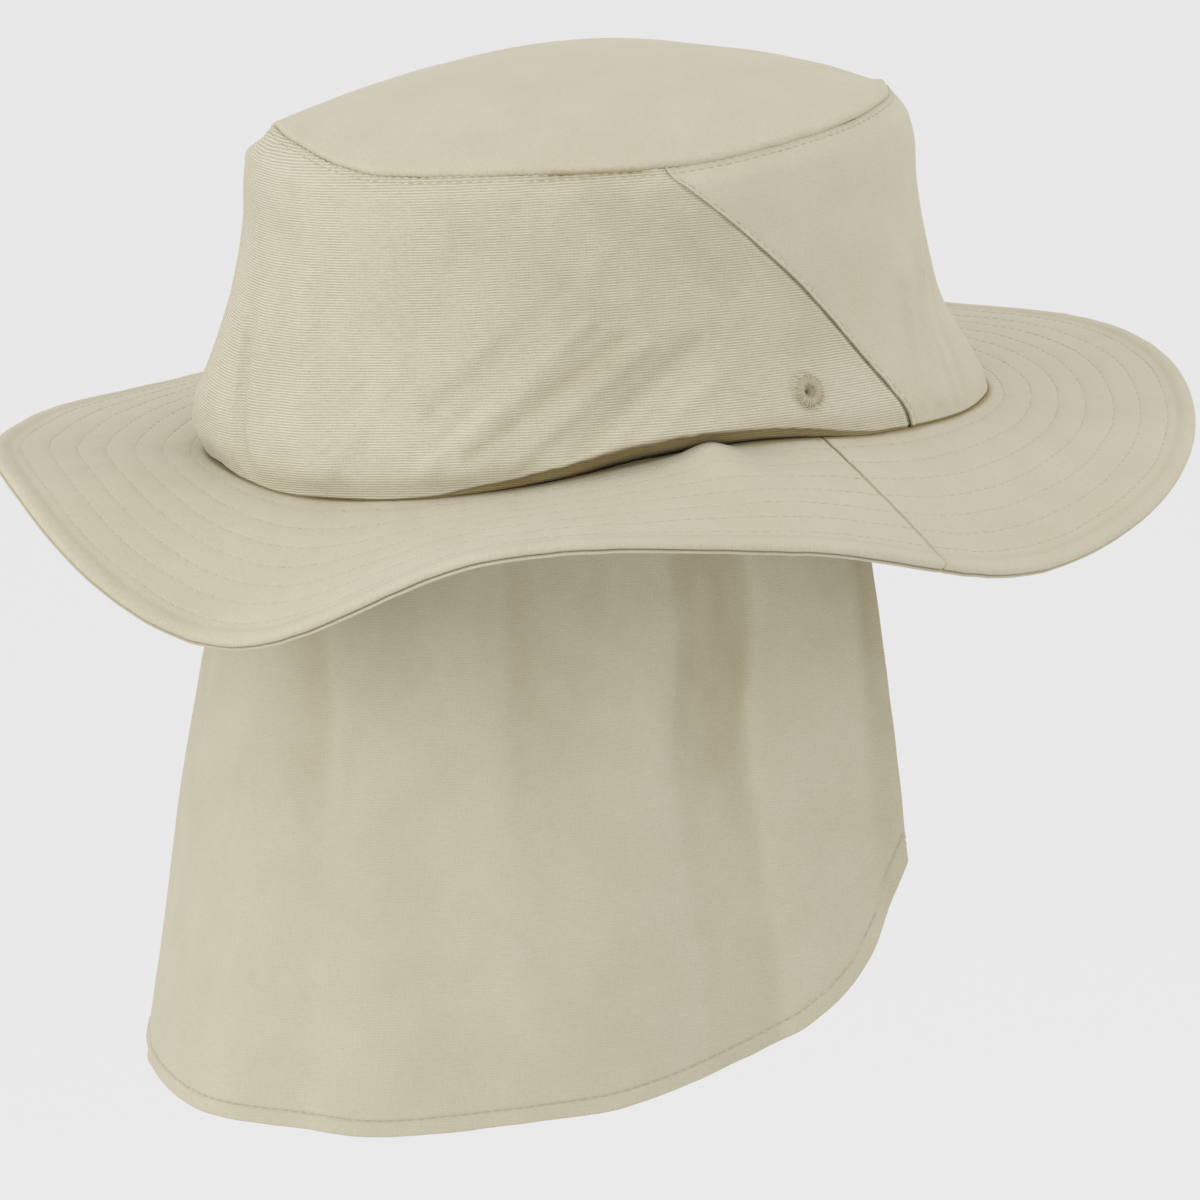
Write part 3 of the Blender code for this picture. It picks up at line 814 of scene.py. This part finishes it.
def eyelet_rows():
    """Geometry nodes that set thread wraps side by side round a ring."""
    numbers = ("Middle radius", "Wrap length", "Wrap width", "Wrap height")
    tree, node = thread_group("Eyelet wraps", numbers, ("Wraps",))
    given = node("NodeGroupInput").outputs
    circle = {"Resolution": given["Wraps"], "Radius": given["Middle radius"]}
    circle = node("GeometryNodeCurvePrimitiveCircle", circle).outputs[0]
    turned = {"Vector": node("GeometryNodeInputPosition").outputs[0]}
    turned = node("FunctionNodeAlignRotationToVector", turned, axis="X", pivot_axis="Z").outputs[0]
    ball = node("GeometryNodeMeshUVSphere", {"Segments": 8, "Rings": 6, "Radius": 0.5}).outputs[0]
    size = {0: given["Wrap length"], 1: given["Wrap width"], 2: given["Wrap height"]}
    size = node("ShaderNodeCombineXYZ", size).outputs[0]
    wrap = node("GeometryNodeTransform", {"Geometry": ball, "Scale": size}).outputs[0]
    vary = {2: 0.74, 3: 1.14, "Seed": 9}
    vary = node("FunctionNodeRandomValue", vary, data_type="FLOAT").outputs[1]
    placed = {"Points": circle, "Instance": wrap, "Rotation": turned, "Scale": vary}
    laid = node("GeometryNodeInstanceOnPoints", placed).outputs[0]
    real = node("GeometryNodeRealizeInstances", {"Geometry": laid}).outputs[0]
    both = node("GeometryNodeJoinGeometry")
    tree.links.new(real, both.inputs[0])
    tree.links.new(given["Geometry"], both.inputs[0])
    end_group(tree, node, both.outputs[0], given["Thread"])
    return tree


def eyelet(name, angle, thread):
    """A stitched ring with a barrel through the cloth, turned to lie on the wall."""
    profile = MM * np.array([
        # outwards from the hole's middle and up from the cloth
        (0.55, -1.30), (1.10, -0.75), (1.60, -0.05), (2.20, 0.45), (2.9, 0.52), (3.6, 0.25), (4.1, -0.10),
        (4.1, -0.40), (2.2, -0.40), (2.1, -1.4), (1.8, -3.1), (1.0, -3.1), (0.55, -2.9),
    ])
    turns = np.linspace(0, 2 * math.pi, 40, endpoint=False)
    points, faces = [], []
    for turn in turns:
        points += [(r * math.cos(turn), r * math.sin(turn), z) for r, z in profile]
    rows = len(profile)
    for i in range(len(turns)):
        k = (i + 1) % len(turns)
        for j in range(rows):
            m = (j + 1) % rows
            faces.append((i * rows + j, i * rows + m, k * rows + m, k * rows + j))
    base = mesh_piece(name, np.array(points), faces)
    made = lay_thread(base, wrapping, {
        "Middle radius": (EYELET_RADIUS + EYELET_HOLE) / 2,
        "Wrap length": EYELET_RADIUS - EYELET_HOLE + 0.3 * MM,
        "Wrap width": WRAP_WIDTH, "Wrap height": WRAP_HEIGHT, "Wraps": EYELET_WRAPS, "Thread": thread,
    })
    place = np.array([angle]), np.array([EYELET_HEIGHT])
    turn = Vector(facing(wall_point, *place)[0]).to_track_quat("Z", "Y").to_matrix().to_4x4()
    made.transform(Matrix.Translation(Vector(rear_cloth(*place)[0])) @ turn)
    return base


wrapping = eyelet_rows()
eyelet_thread = sewing_thread("eyelet_thread", (0.56, 0.50, 0.36))
for side, eyelet_angle in (("right", EYELET_ANGLE), ("left", 360 - EYELET_ANGLE)):
    bound = eyelet(f"eyelet_{side}_thread", eyelet_angle, eyelet_thread)
    finish_piece(bound, None, "eyelet_" + side)

# --- Crown tip ---------------------------------------------------------------------------------------
# A domed oval of the same cloth, sewn round its edge to the wall. The seam allowances are turned down
# inside, so the edge rolls over and puckers a little, and they poke up at both ends of the oval.
TIP_RISE = 0.0155
TIP_CLOTH = 0.0010
TIP_PUCKER = 0.00030


def tip_point(angle, reach):
    """Upper face of the tip, from its middle at reach 0 to its seam at 1."""
    edge, _ = ring(angle, CROWN_TOP_LENGTH, CROWN_TOP_WIDTH, TIP_SQUARENESS)
    plan = edge * np.asarray(reach)[..., None]
    rise = TIP_RISE * (1 - reach ** 2) ** 0.9
    height = CROWN_HEIGHT + (tip_seam_height(angle) - CROWN_HEIGHT) * reach ** 2 + rise
    return np.concatenate([plan, height[..., None]], -1)


def puckers(angle):
    """Short wrinkles that run inwards from the tip's seam, mostly near the front."""
    front = step_up((100 - np.abs(signed(angle))) / 60)
    return front * unevenness(angle / 360 * 130, 0, 24, 130) + 0.4 * unevenness(angle / 360 * 90, 0, 25, 90)


def tip_cloth(angle, reach):
    """The tip's cloth with the puckers of its seam and soft unevenness."""
    angle, reach = paired(angle, reach)
    point = tip_point(angle, reach)
    from_seam = (1 - reach) * TIP_RADIUS
    relief = 0.50 * MM * unevenness(point[..., 0] / 0.030 + 20, point[..., 1] / 0.030 + 20, 21)
    relief *= step_up(from_seam / 0.012)
    relief += 0.10 * MM * unevenness(point[..., 0] / 0.008 + 50, point[..., 1] / 0.008 + 50, 22)
    relief += 0.22 * MM * unevenness(angle / 360 * 96, from_seam / 0.014, 23, 96) * np.exp(-from_seam / 0.006)
    relief += 0.12 * MM * bump((from_seam - 1.0 * MM) / (0.9 * MM)) * rope(angle, -from_seam)
    relief += TIP_PUCKER * puckers(angle) * np.exp(-np.square((from_seam - 0.012) / 0.010))
    rolled = np.square(np.clip(1 - from_seam / (1.4 * MM), 0, 1))
    _, out = ring(angle, CROWN_TOP_LENGTH, CROWN_TOP_WIDTH, TIP_SQUARENESS)
    point[..., 2] += relief - 1.5 * MM * rolled + horn(angle) * step_up(1 - from_seam / 0.004)
    point[..., :2] -= out * (0.5 * MM * rolled)[..., None]
    return point


around = np.linspace(0, 360, 640, endpoint=False)
tip_rows = MM * np.array([0, 0.12, 0.3, 0.5, 0.75, 1.0, 1.3, 1.7, 2.2, 2.9, 3.8, 5.0])
tip_rows = 1 - tip_rows / TIP_RADIUS
tip_reach = np.concatenate([tip_rows, np.linspace(tip_rows[-1], 0.012, 46)[1:], [0.0]])
tip_face = tip_cloth(around[:, None], tip_reach[None])
# Painted shade in the groove of the tip seam, stronger where it gapes over the ears.
at_edge = 1 - step_up((1 - tip_reach) * 0.075 / (0.8 * MM))
tip_shade = (0.3 + 0.5 * open_seam(around))[:, None] * at_edge[None]
tip_map = tip_face[..., 1::-1].copy()
tip_piece = cloth_piece(
    "crown_tip_cloth", tip_face, TIP_CLOTH, 0.5 * MM, tip_map, tip_shade, closed=True, pole=True,
)
finish_piece(tip_piece, plain_cloth, "crown_tip")

# --- Stitches of the tip seam ------------------------------------------------------------------------
# One row of topstitching runs right round the wall just below the tip seam and pulls the cloth into a
# small twisted welt between the row and the seam.
around = np.linspace(0, 360, 900)
low_wall, high_wall = wall_limits(around)
row_height = 1 - TOPSTITCH_DROP / (high_wall - low_wall)
tip_lines = [line_on(wall_cloth, around, row_height, -THREAD_SINKS)]
tip_stitches = sew("tip_seam_stitches", tip_lines, khaki_thread)
finish_piece(tip_stitches, None, None)

# --- Neck flap ---------------------------------------------------------------------------------------
# A single layer of thinner cloth that is sewn into the brim seam and hangs free round the back and the
# sides. Its lower edge is turned up in a narrow hem, which puckers along its row of stitches.
FLAP_LENGTH = 0.1605
FLAP_FRONT_ANGLE = 65.0
FLAP_SEAM_ALLOWANCE = 0.007
FLAP_CLOTH = 0.0007
HEM_WIDTH = 0.0043
HEM_ROW_START = 65.4
HEM_PITCH = 0.0028
HEM_STITCH = 0.0022
FLAP_ROWS = [
    # drop, then how far the flap stands out at its front edge, side and back, as shares of its length
    (-0.06, 0.000, 0.000, 0.000), (0.00, 0.000, 0.000, 0.000), (0.05, 0.000, 0.000, 0.002),
    (0.25, 0.020, 0.005, 0.036), (0.50, 0.048, 0.020, 0.094), (0.75, 0.070, 0.040, 0.144),
    (1.00, 0.092, 0.060, 0.200),
]
FLAP_FOLDS = [
    # angle, half width in degrees, depth as a share of the flap's length
    (69, 4, -0.016), (81, 6, 0.014), (95, 7, -0.010), (111, 9, 0.007), (129, 8, -0.007),
    (141, 6, 0.008), (152, 6, -0.012), (166, 8, 0.010), (184, 9, -0.007), (201, 8, 0.010),
    (217, 8, -0.011), (235, 9, 0.009), (254, 8, -0.010), (272, 7, 0.010), (287, 5, -0.012),
]
FLAP_CREASES = [
    # angle of a pressed crease, half width in degrees, step in millimetres
    (87.0, 5.0, -1.6), (70.0, 4.5, 1.6), (98.0, 6.0, 0.9), (122.0, 9.0, 1.2), (150.0, 7.0, -0.8),
    (211.0, 7.0, 0.8), (240.0, 9.0, -1.1), (273.0, 5.0, 1.6), (290.0, 4.5, -1.6),
]
FLAP_LENGTH_ROWS = [
    # share of the way from the front edge to the back, length
    (0.00, 0.668), (0.02, 0.714), (0.04, 0.757), (0.07, 0.803), (0.10, 0.840), (0.15, 0.885), (0.20, 0.919),
    (0.27, 0.950), (0.35, 0.970), (0.60, 1.0), (1.0, 1.0),
]


def flap_point(angle, drop):
    """Outer face of the flap; drop is a share of the flap's length below the brim seam."""
    base, out = ring(angle, CROWN_BASE_LENGTH, CROWN_BASE_WIDTH)
    turn = np.abs(signed(angle))
    front, side, back = [through(column(FLAP_ROWS, 0), column(FLAP_ROWS, n), drop) for n in (1, 2, 3)]
    edge = np.clip((90 - turn) / (90 - FLAP_FRONT_ANGLE), 0, 1) ** 2
    behind = np.clip(-np.cos(np.radians(turn)), 0, 1) ** 2
    stand = front * edge + (side + (back - side) * behind) * (1 - edge)
    for middle, half_width, depth in FLAP_FOLDS:
        near = signed(angle - middle) / half_width
        stand = stand + depth * np.exp(-near ** 2) * np.clip(drop - 0.03, 0, 1) ** 0.8
    plan = base + out * (FLAP_LENGTH * stand - CROWN_CLOTH - SEAM_GAP)[..., None]
    settle = 1 - np.clip(drop / 0.3, 0, 1)
    height = brim_seam_height(angle) * settle ** 2 - FLAP_LENGTH * drop
    return np.concatenate([plan, height[..., None]], -1)


def flap_reach(angle):
    """Length of the flap at an angle, as a share of its length at the back."""
    share = (np.abs(signed(angle)) - FLAP_FRONT_ANGLE) / (180 - FLAP_FRONT_ANGLE)
    return through(column(FLAP_LENGTH_ROWS, 0), column(FLAP_LENGTH_ROWS, 1), share)


def hem_slope(angle):
    """How much further the hem is straight up than square across, where the edge slants."""
    slant = (flap_reach(angle + 0.5) - flap_reach(angle - 0.5)) * FLAP_LENGTH / arc(angle)
    return np.sqrt(1 + slant ** 2)


def hem_distance(angle, drop):
    """Distance from the flap's lower edge."""
    return np.clip((flap_reach(angle) - drop) * FLAP_LENGTH / hem_slope(angle), 0, 1)


def pleats(angle, drop):
    """Soft steps in millimetres where the flap was once pressed; they fade towards the hem."""
    total = 0 * (angle + drop)
    angle = angle + 1.3 * unevenness(drop * 5, signed(angle) / 30, 36) * step_up(drop / 0.2)
    for fold_angle, half_width, depth in FLAP_CREASES:
        side = signed(angle - fold_angle) / half_width
        total = total + depth * np.exp(-np.abs(side)) * np.sign(side) * (1 - np.exp(-np.abs(side) * 4))
    return 1.3 * total * (1 - 0.65 * step_up((drop - 0.25) / 0.45))


def flap_cloth(angle, drop):
    """The flap's cloth with its puckered hem and soft unevenness."""
    angle, drop = paired(angle, drop)
    point = flap_point(angle, drop)
    outward = facing(flap_point, angle, drop, -1.0)
    away = hem_distance(angle, drop)
    turns = angle / 360
    hang = np.clip(drop / 0.2, 0, 1)
    relief = 1.0 * MM * hang * unevenness(turns * 26, drop * 3.2, 31, 26)
    relief += 0.16 * MM * hang * unevenness(turns * 90, drop * 20, 32, 90)
    relief += MM * hang * pleats(angle, drop)
    relief += 0.75 * MM * unevenness(turns * 52, away / 0.02, 33, 52) * np.exp(-away / 0.009)
    relief += 0.30 * MM * unevenness(turns * 150, away / 0.012, 34, 150) * np.exp(-away / 0.005)
    relief -= 0.16 * MM * bump((away - HEM_WIDTH) / (0.4 * MM))
    relief += 0.22 * MM * step_up((HEM_WIDTH - away) / (0.8 * MM))
    return point + outward * relief[..., None]


def flap_painted_shade(angle, drop):
    """Painted shade on the flap's cloth: in the brim seam, on the upper part under the brim, in the hollows
    of its pleats, in faint blotches all over and along the hem's stitches.
    """
    away = hem_distance(angle, drop)
    # Painted shade in the brim seam at the top of the flap.
    at_seam = 0.8 * (1 - step_up((drop * FLAP_LENGTH + 0.001) / 0.006))
    patch = patches(angle / 360, drop, (44, 5, 35), (170, 24, 37))
    # Painted shade, blotchy, on the upper part of the flap under the brim.
    shaded = (0.04 + 0.12 * patch) * (1 - step_up((drop - 0.08) / 0.50))
    # Painted shade in the hollows of the pressed pleats, plus faint blotches all over.
    hollow = (0.18 + 0.18 * patch) * np.clip(-pleats(angle, drop) / 1.2, 0, 1) + 0.08 * patch
    # Painted shade along the groove of the hem's stitches.
    at_hem = 0.16 * bump((away - HEM_WIDTH) / (0.4 * MM))
    return np.clip(np.maximum(at_seam, shaded) + hollow + at_hem, 0, 1)


hem_rows = [0, 0.15, 0.4, 0.8, 1.5, 2.3, 3.0, 3.6, 3.9, 4.15, 4.3, 4.5, 4.8, 5.4, 6.3, 7.5]
hem_rows = MM * np.array(hem_rows)
flap_span = 360 - 2 * FLAP_FRONT_ANGLE
edge_turns = hem_rows[1:-1] / (arc(70) * flap_span)
turns = np.linspace(0, 1, 336)
inner_turns = turns[(turns > 0.021) & (turns < 0.979)]
turns = np.concatenate([[0], edge_turns, inner_turns, 1 - edge_turns[::-1], [1]])
flap_angle = (FLAP_FRONT_ANGLE + flap_span * turns)[:, None]
hem_drop = flap_reach(flap_angle) - hem_rows[None] / FLAP_LENGTH
top_drop = -FLAP_SEAM_ALLOWANCE / FLAP_LENGTH
upper_rows = np.linspace(0, 1, 92)[1:][None]
upper_drop = hem_drop[:, -1:] + (top_drop - hem_drop[:, -1:]) * upper_rows
flap_drop = np.concatenate([hem_drop, upper_drop], 1)
flap_face = flap_cloth(flap_angle, flap_drop)
flap_map = np.stack([flap_angle * arc(90) + 0 * flap_drop, flap_face[..., 2]], -1)
in_hem = step_up((HEM_WIDTH - hem_distance(flap_angle, flap_drop)) / (0.5 * MM))
flap_thick = FLAP_CLOTH * (1 + 0.6 * in_hem)
flap_shade = flap_painted_shade(flap_angle, flap_drop)
flap_piece = cloth_piece(
    "neck_flap_cloth", flap_face, flap_thick, 0.45 * MM, flap_map, flap_shade,
)
flap_material = woven_cloth("thin_khaki_cloth", LIGHT_CLOTH, DARK_CLOTH, rib=0.3)
finish_piece(flap_piece, flap_material, "neck_flap")

# --- Stitches of the flap's hem ----------------------------------------------------------------------
# One row of lockstitches holds the turned hem along the bottom and round both front corners. The front
# edges above the corners are the cloth's own woven edge, so no stitches show there.
hem_angle = np.linspace(FLAP_FRONT_ANGLE, 360 - FLAP_FRONT_ANGLE, 1400)
hem_angle = hem_angle[(hem_angle > HEM_ROW_START) & (hem_angle < 360 - HEM_ROW_START)]
hem_share = flap_reach(hem_angle) - HEM_WIDTH * hem_slope(hem_angle) / FLAP_LENGTH
hem_lines = [line_on(flap_cloth, hem_angle, hem_share, -THREAD_SINKS, -1.0)]
hem_stitches = sew("flap_hem_stitches", hem_lines, khaki_thread, HEM_PITCH, HEM_STITCH)
finish_piece(hem_stitches, None, None)

# --- Brim --------------------------------------------------------------------------------------------
# Two layers of cloth round a soft interlining, in a front and a rear part that meet at the side seams.
# Seven rows of stitches quilt it, and the upper layer rolls over the edge onto the under layer.
BRIM_WIDTH = 0.057
BRIM_JOIN_ANGLE = 73.5
BRIM_CLOTH = 0.0024
BRIM_ROWS = [
    # angle, slope below level in degrees, curl towards the edge
    (-150, -2, 0.0), (-120, 8, 0.0), (-90, 12, 0.2), (-60, 9, 0.1), (-30, 3, 0.0), (0, 1, 0.0),
    (30, 19, 0.0), (60, 32, 0.1), (90, 14, 0.3), (120, 1, 0.2), (150, 25, 0.0), (180, -5, 0.0),
]
ROW_SPACING = 0.0074
STITCH_ROWS = [0.0045 + ROW_SPACING * number for number in range(7)]
EDGE_WELT = 0.0546
EDGE_DENT = 0.0517
JOIN_GAP = 0.03
BRIM_GRID_STEP = 0.001
BRIM_PITCH = 0.0033
BRIM_STITCH = 0.0025
BRIM_THREAD_WIDTH = 0.0003
EDGE_ROLL = 0.0017
EDGE_PROFILE = [
    # outwards and up from the brim's upper edge, in millimetres: rolled upper layer, groove, under layer
    (0.60, -0.15), (1.05, -0.55), (1.28, -1.10), (1.22, -1.65), (0.90, -2.05), (0.30, -2.25),
    (0.25, -2.40), (0.72, -2.48), (1.02, -2.72), (1.00, -3.10), (0.50, -3.35),
]
# Painted shade across the edge profile, darkest in the groove between the rolled upper layer and the under
# layer.
EDGE_PAINTED_SHADE = [0.0, 0.0, 0.0, 0.05, 0.2, 0.6, 0.7, 0.3, 0.0, 0.0, 0.0]


def brim_point(angle, reach):
    """Upper face of the brim: reach 0 at the crown seam, 1 at the outer edge, below 0 in the seam."""
    base, out = ring(angle, CROWN_BASE_LENGTH, CROWN_BASE_WIDTH)
    slope = np.radians(round_head(BRIM_ROWS, 1, angle))
    curl = round_head(BRIM_ROWS, 2, angle)
    free = np.clip(reach, 0, 1)
    away = BRIM_WIDTH * np.where(reach > 0, reach * np.cos(slope), reach)
    fall = BRIM_WIDTH * np.sin(slope) * (free - curl * free * (1 - free))
    plan = base + out * away[..., None]
    return np.concatenate([plan, (brim_seam_height(angle) - fall)[..., None]], -1)


def quilting(angle, away, seed):
    """Relief of the stitched rows: dents along the stitches and soft puckers between them."""
    turns = angle / 360
    between = 0.5 - 0.5 * np.cos(2 * math.pi * (away - STITCH_ROWS[0]) / ROW_SPACING)
    fill = 0.7 + 0.6 * unevenness(turns * 70, away / ROW_SPACING, seed, 70)
    relief = 0.22 * MM * between * fill
    relief += 0.13 * MM * unevenness(turns * 210, away / 0.0052, seed + 1, 210)
    for number, row in enumerate(STITCH_ROWS):
        pull = 0.08 + 0.05 * unevenness(turns * 120, number * 7.0, seed + 2, 120)
        relief -= pull * MM * bump((away - row) / (0.5 * MM))
    return relief


def brim_top(angle, reach):
    """Upper face of the brim's cloth."""
    angle, reach = paired(angle, reach)
    away = reach * BRIM_WIDTH
    relief = quilting(angle, away, 41)
    relief += 0.45 * MM * unevenness(angle / 360 * 20, away / 0.03, 43, 20)
    relief += 2.6 * MM * bump(signed(angle - 92.0) / 3.4) * bump((reach - 0.10) / 0.16)
    relief -= 1.3 * MM * bump(signed(angle - 84.0) / 4.0) * bump((reach - 0.12) / 0.16)
    behind_join = bump((signed(angle - BRIM_JOIN_ANGLE) - 1.1) / 0.35)
    relief -= 0.45 * MM * behind_join * step_up((0.55 - reach) / 0.3)
    relief += 0.35 * MM * bump((away - EDGE_WELT) / 0.0019)
    relief -= 0.14 * MM * bump((away - EDGE_DENT) / 0.0010)
    relief = relief * step_up(reach / 0.03) * step_up((1.02 - reach) / 0.04)
    point = brim_point(angle, reach)
    point[..., 2] += relief
    return point


def brim_painted_shade(angle, reach):
    """Painted shade on the brim's cloth: darker at the crown seam, at its own joins and in the dent near its
    edge.
    """
    at_crown = 1 - step_up((reach * BRIM_WIDTH - 0.2 * MM) / (1.6 * MM))
    from_join = np.abs(np.abs(signed(angle)) - BRIM_JOIN_ANGLE) * arc(angle)
    at_join = (1 - 0.9 * np.clip(reach, 0, 1)) * (1 - step_up(from_join / (0.9 * MM)))
    at_edge = 0.10 * bump((reach * BRIM_WIDTH - EDGE_DENT - 0.1 * MM) / 0.0010)
    return np.maximum(np.maximum(at_crown, at_join), at_edge)


def brim_under(angle, reach):
    """Lower face of the brim's cloth."""
    angle, reach = paired(angle, reach)
    away = reach * BRIM_WIDTH
    relief = quilting(angle, away, 45) * step_up(reach / 0.03) * step_up((1.0 - reach) / 0.05)
    rise = 0.45 * MM * unevenness(angle / 360 * 20, away / 0.03, 43, 20) * step_up(reach / 0.03)
    point = brim_point(angle, reach)
    point = point - facing(brim_point, angle, np.clip(reach, 0, 1), -1.0) * BRIM_CLOTH
    point[..., 2] += rise * step_up((1.02 - reach) / 0.04) - relief
    return point


def brim_part(name, first, last):
    """One part of the brim: its cross section, carried round the head."""
    wide = (last - first) * arc(45, 0.03)
    angle = np.linspace(first, last, int(wide / BRIM_GRID_STEP))
    fine = np.degrees(1) * 0.35 * MM / 0.1
    near_ends = [first + 0.4 * fine, first + fine, last - fine, last - 0.4 * fine]
    angle = np.union1d(angle, near_ends)[:, None]
    edge = 1 - EDGE_ROLL / BRIM_WIDTH
    near_rows = np.array([-1.1, -0.75, -0.45, -0.2, 0, 0.2, 0.45, 0.75, 1.1, 1.8]) * MM
    crown_rows = np.array([-1.6, -0.5, 0, 0.4, 0.9, 1.4, 2.0, 2.7]) * MM
    edge_rows = np.linspace(STITCH_ROWS[-1] + 2.4 * MM, edge * BRIM_WIDTH, 9)
    reach = [crown_rows, *[row + near_rows for row in STITCH_ROWS], edge_rows]
    reach = np.unique(np.round(np.concatenate(reach) / BRIM_WIDTH, 6))
    under_reach = np.linspace(-CROWN_CLOTH / BRIM_WIDTH, edge, 46)[None]
    rim = brim_top(angle, np.array([[edge]]))[:, 0]
    _, out = ring(angle[:, 0], CROWN_BASE_LENGTH, CROWN_BASE_WIDTH)
    up = facing(brim_point, angle[:, 0], np.full(len(angle), edge), -1.0)
    out = np.concatenate([out, np.zeros((len(angle), 1))], 1)
    out = out - up * (out * up).sum(1)[:, None]
    out /= np.linalg.norm(out, axis=1)[:, None]
    roll = [rim + (out * x + up * y) * MM for x, y in reversed(EDGE_PROFILE)]
    under = brim_under(angle, under_reach)
    top = brim_top(angle, reach[None, ::-1])
    grid = np.concatenate([under, np.stack(roll, 1), top], 1)
    count, rows = grid.shape[:2]
    # Painted shade: the upper face takes the brim's painted shade and the rolled edge takes the edge
    # profile's; the under face has none.
    crease_shade = np.zeros((count, rows))
    crease_shade[:, -len(reach):] = brim_painted_shade(angle, reach[None, ::-1])
    crease_shade[:, -len(reach) - len(roll):-len(reach)] = EDGE_PAINTED_SHADE[::-1]
    ends = {0: 0.75, 1: 0.30, count - 2: 0.30, count - 1: 0.75}
    for line, pinch in ends.items():
        height = grid[line, :, 2].copy()
        start = brim_point(angle[line], np.zeros(1))[0, :2]
        share = np.clip(np.linalg.norm(grid[line, :, :2] - start, axis=1) / BRIM_WIDTH, 0, 1)
        half = brim_point(angle[line], share)[:, 2] - 0.5 * BRIM_CLOTH
        grid[line, :, 2] = height + (half - height) * pinch * (1 - 0.85 * share)
    index = np.arange(count * rows).reshape(count, rows)
    faces = []
    for i in range(count - 1):
        for j in range(rows):
            m = (j + 1) % rows
            faces.append((index[i, j], index[i, m], index[i + 1, m], index[i + 1, j]))
    faces.append(index[0, ::-1].tolist())
    faces.append(index[-1].tolist())
    cloth_map = grid[..., :2].reshape(-1, 2)
    return mesh_piece(name, grid.reshape(-1, 3), faces, cloth_map, crease_shade.ravel())


brim_cloth = woven_cloth("brim_khaki_cloth", LIGHT_CLOTH, DARK_CLOTH, rib=0.12)
join = BRIM_JOIN_ANGLE
brim_front = brim_part("brim_front_cloth", -join + JOIN_GAP, join - JOIN_GAP)
finish_piece(brim_front, brim_cloth, "brim_front")
brim_rear = brim_part("brim_rear_cloth", join + JOIN_GAP, 360 - join - JOIN_GAP)
finish_piece(brim_rear, brim_cloth, "brim_rear")

# --- Stitches of the brim ----------------------------------------------------------------------------
# The seven rows of lockstitches go right round, through both layers, so they show above and below.
upper_lines, under_lines = [], []
around = np.linspace(0, 360, 1200)
for row in STITCH_ROWS:
    share = (row + 0.3 * MM * unevenness(around / 6, row * 1000, 48, 60)) / BRIM_WIDTH
    upper_lines.append(line_on(brim_top, around, share, 0.0, -1.0))
    outward = -facing(brim_point, around, share, -1.0)
    under_lines.append((brim_under(around, share) + outward * 0.02 * MM, outward))
brim_thread = sewing_thread("brim_thread", (0.63, 0.58, 0.45))
brim_lines = upper_lines + under_lines
brim_stitches = sew(
    "brim_stitches", brim_lines, brim_thread, BRIM_PITCH, BRIM_STITCH, BRIM_THREAD_WIDTH,
)
finish_piece(brim_stitches, None, None)

# --- Studio ------------------------------------------------------------------------------------------
# The hat hangs in the middle of a pale, evenly lit room, far above a plain floor. Three large soft
# lamps, behind, in front and above, shape its folds, and the room's own light fills the shade.
VIEW_AZIMUTH = -110.0
VIEW_ELEVATION = 14.0
VIEW_ROLL = -3.6
VIEW_DISTANCE = 1.7
VIEW_LENS = 191.7
AIM_BELOW = 0.0472
FLOOR_LEVEL = -0.60
FLOOR_HALF = 9.0
FLOOR_GREY = 0.22
FLOOR_GLOW = 0.608
ROOM_GREY = 0.807
ROOM_STRENGTH = 1.08
LAMP_DISTANCE = 1.6
LAMP_SIZE = 1.0
LAMPS = [
    # name, direction from the hat, power in watts
    ("back_lamp", (-0.25, 0.90, 0.30), 6.5),
    ("front_lamp", (-0.30, -0.90, 0.35), 3.4),
    ("top_lamp", (-0.10, 0.20, 1.0), 1.2),
]

azimuth = math.radians(VIEW_AZIMUTH)
elevation = math.radians(VIEW_ELEVATION)
roll = math.radians(VIEW_ROLL)
back = Vector((math.sin(azimuth), -math.cos(azimuth), 0)) * math.cos(elevation)
back.z = math.sin(elevation)
level = Vector((math.cos(azimuth), math.sin(azimuth), 0))
upward = back.cross(level)
upright = upward * math.cos(roll) - level * math.sin(roll)
camera = bpy.data.objects.new("camera", bpy.data.cameras.new("camera"))
bpy.context.scene.collection.objects.link(camera)
camera.data.lens = VIEW_LENS
camera.data.sensor_width = 36.0
stand = back * VIEW_DISTANCE
sight = (stand + upright * AIM_BELOW).normalized()
camera_right = upright.cross(sight).normalized()
camera_up = sight.cross(camera_right)
turned = Matrix((camera_right, camera_up, sight)).transposed()
camera.matrix_world = Matrix.Translation(stand) @ turned.to_4x4()
bpy.context.scene.camera = camera

floor_points = [(-1, -1, 0), (1, -1, 0), (1, 1, 0), (-1, 1, 0)] * np.array(FLOOR_HALF) + (0, 0, FLOOR_LEVEL)
floor = mesh_piece("floor", floor_points, [(0, 1, 2, 3)])
floor_paint, _, floor_shader = new_paint("pale_floor")
floor_shader.inputs["Base Color"].default_value = (FLOOR_GREY, FLOOR_GREY, FLOOR_GREY, 1)
floor_shader.inputs["Emission Color"].default_value = (1, 1, 1, 1)
floor_shader.inputs["Emission Strength"].default_value = FLOOR_GLOW
floor_shader.inputs["Roughness"].default_value = 0.9
floor_shader.inputs["Specular IOR Level"].default_value = 0.0
floor.data.materials.append(floor_paint)

world = bpy.data.worlds.new("pale_room")
world.use_nodes = True
room = world.node_tree.nodes["Background"].inputs
room["Color"].default_value = (ROOM_GREY, ROOM_GREY, ROOM_GREY, 1)
room["Strength"].default_value = ROOM_STRENGTH
bpy.context.scene.world = world
bpy.context.scene.view_settings.view_transform = "Standard"

for name, towards, power in LAMPS:
    light = bpy.data.lights.new(name, "AREA")
    light.energy = power
    light.size = LAMP_SIZE
    lamp = bpy.data.objects.new(name, light)
    bpy.context.scene.collection.objects.link(lamp)
    direction = Vector(towards).normalized()
    lamp.location = direction * LAMP_DISTANCE
    lamp.rotation_euler = direction.to_track_quat("Z", "Y").to_euler()
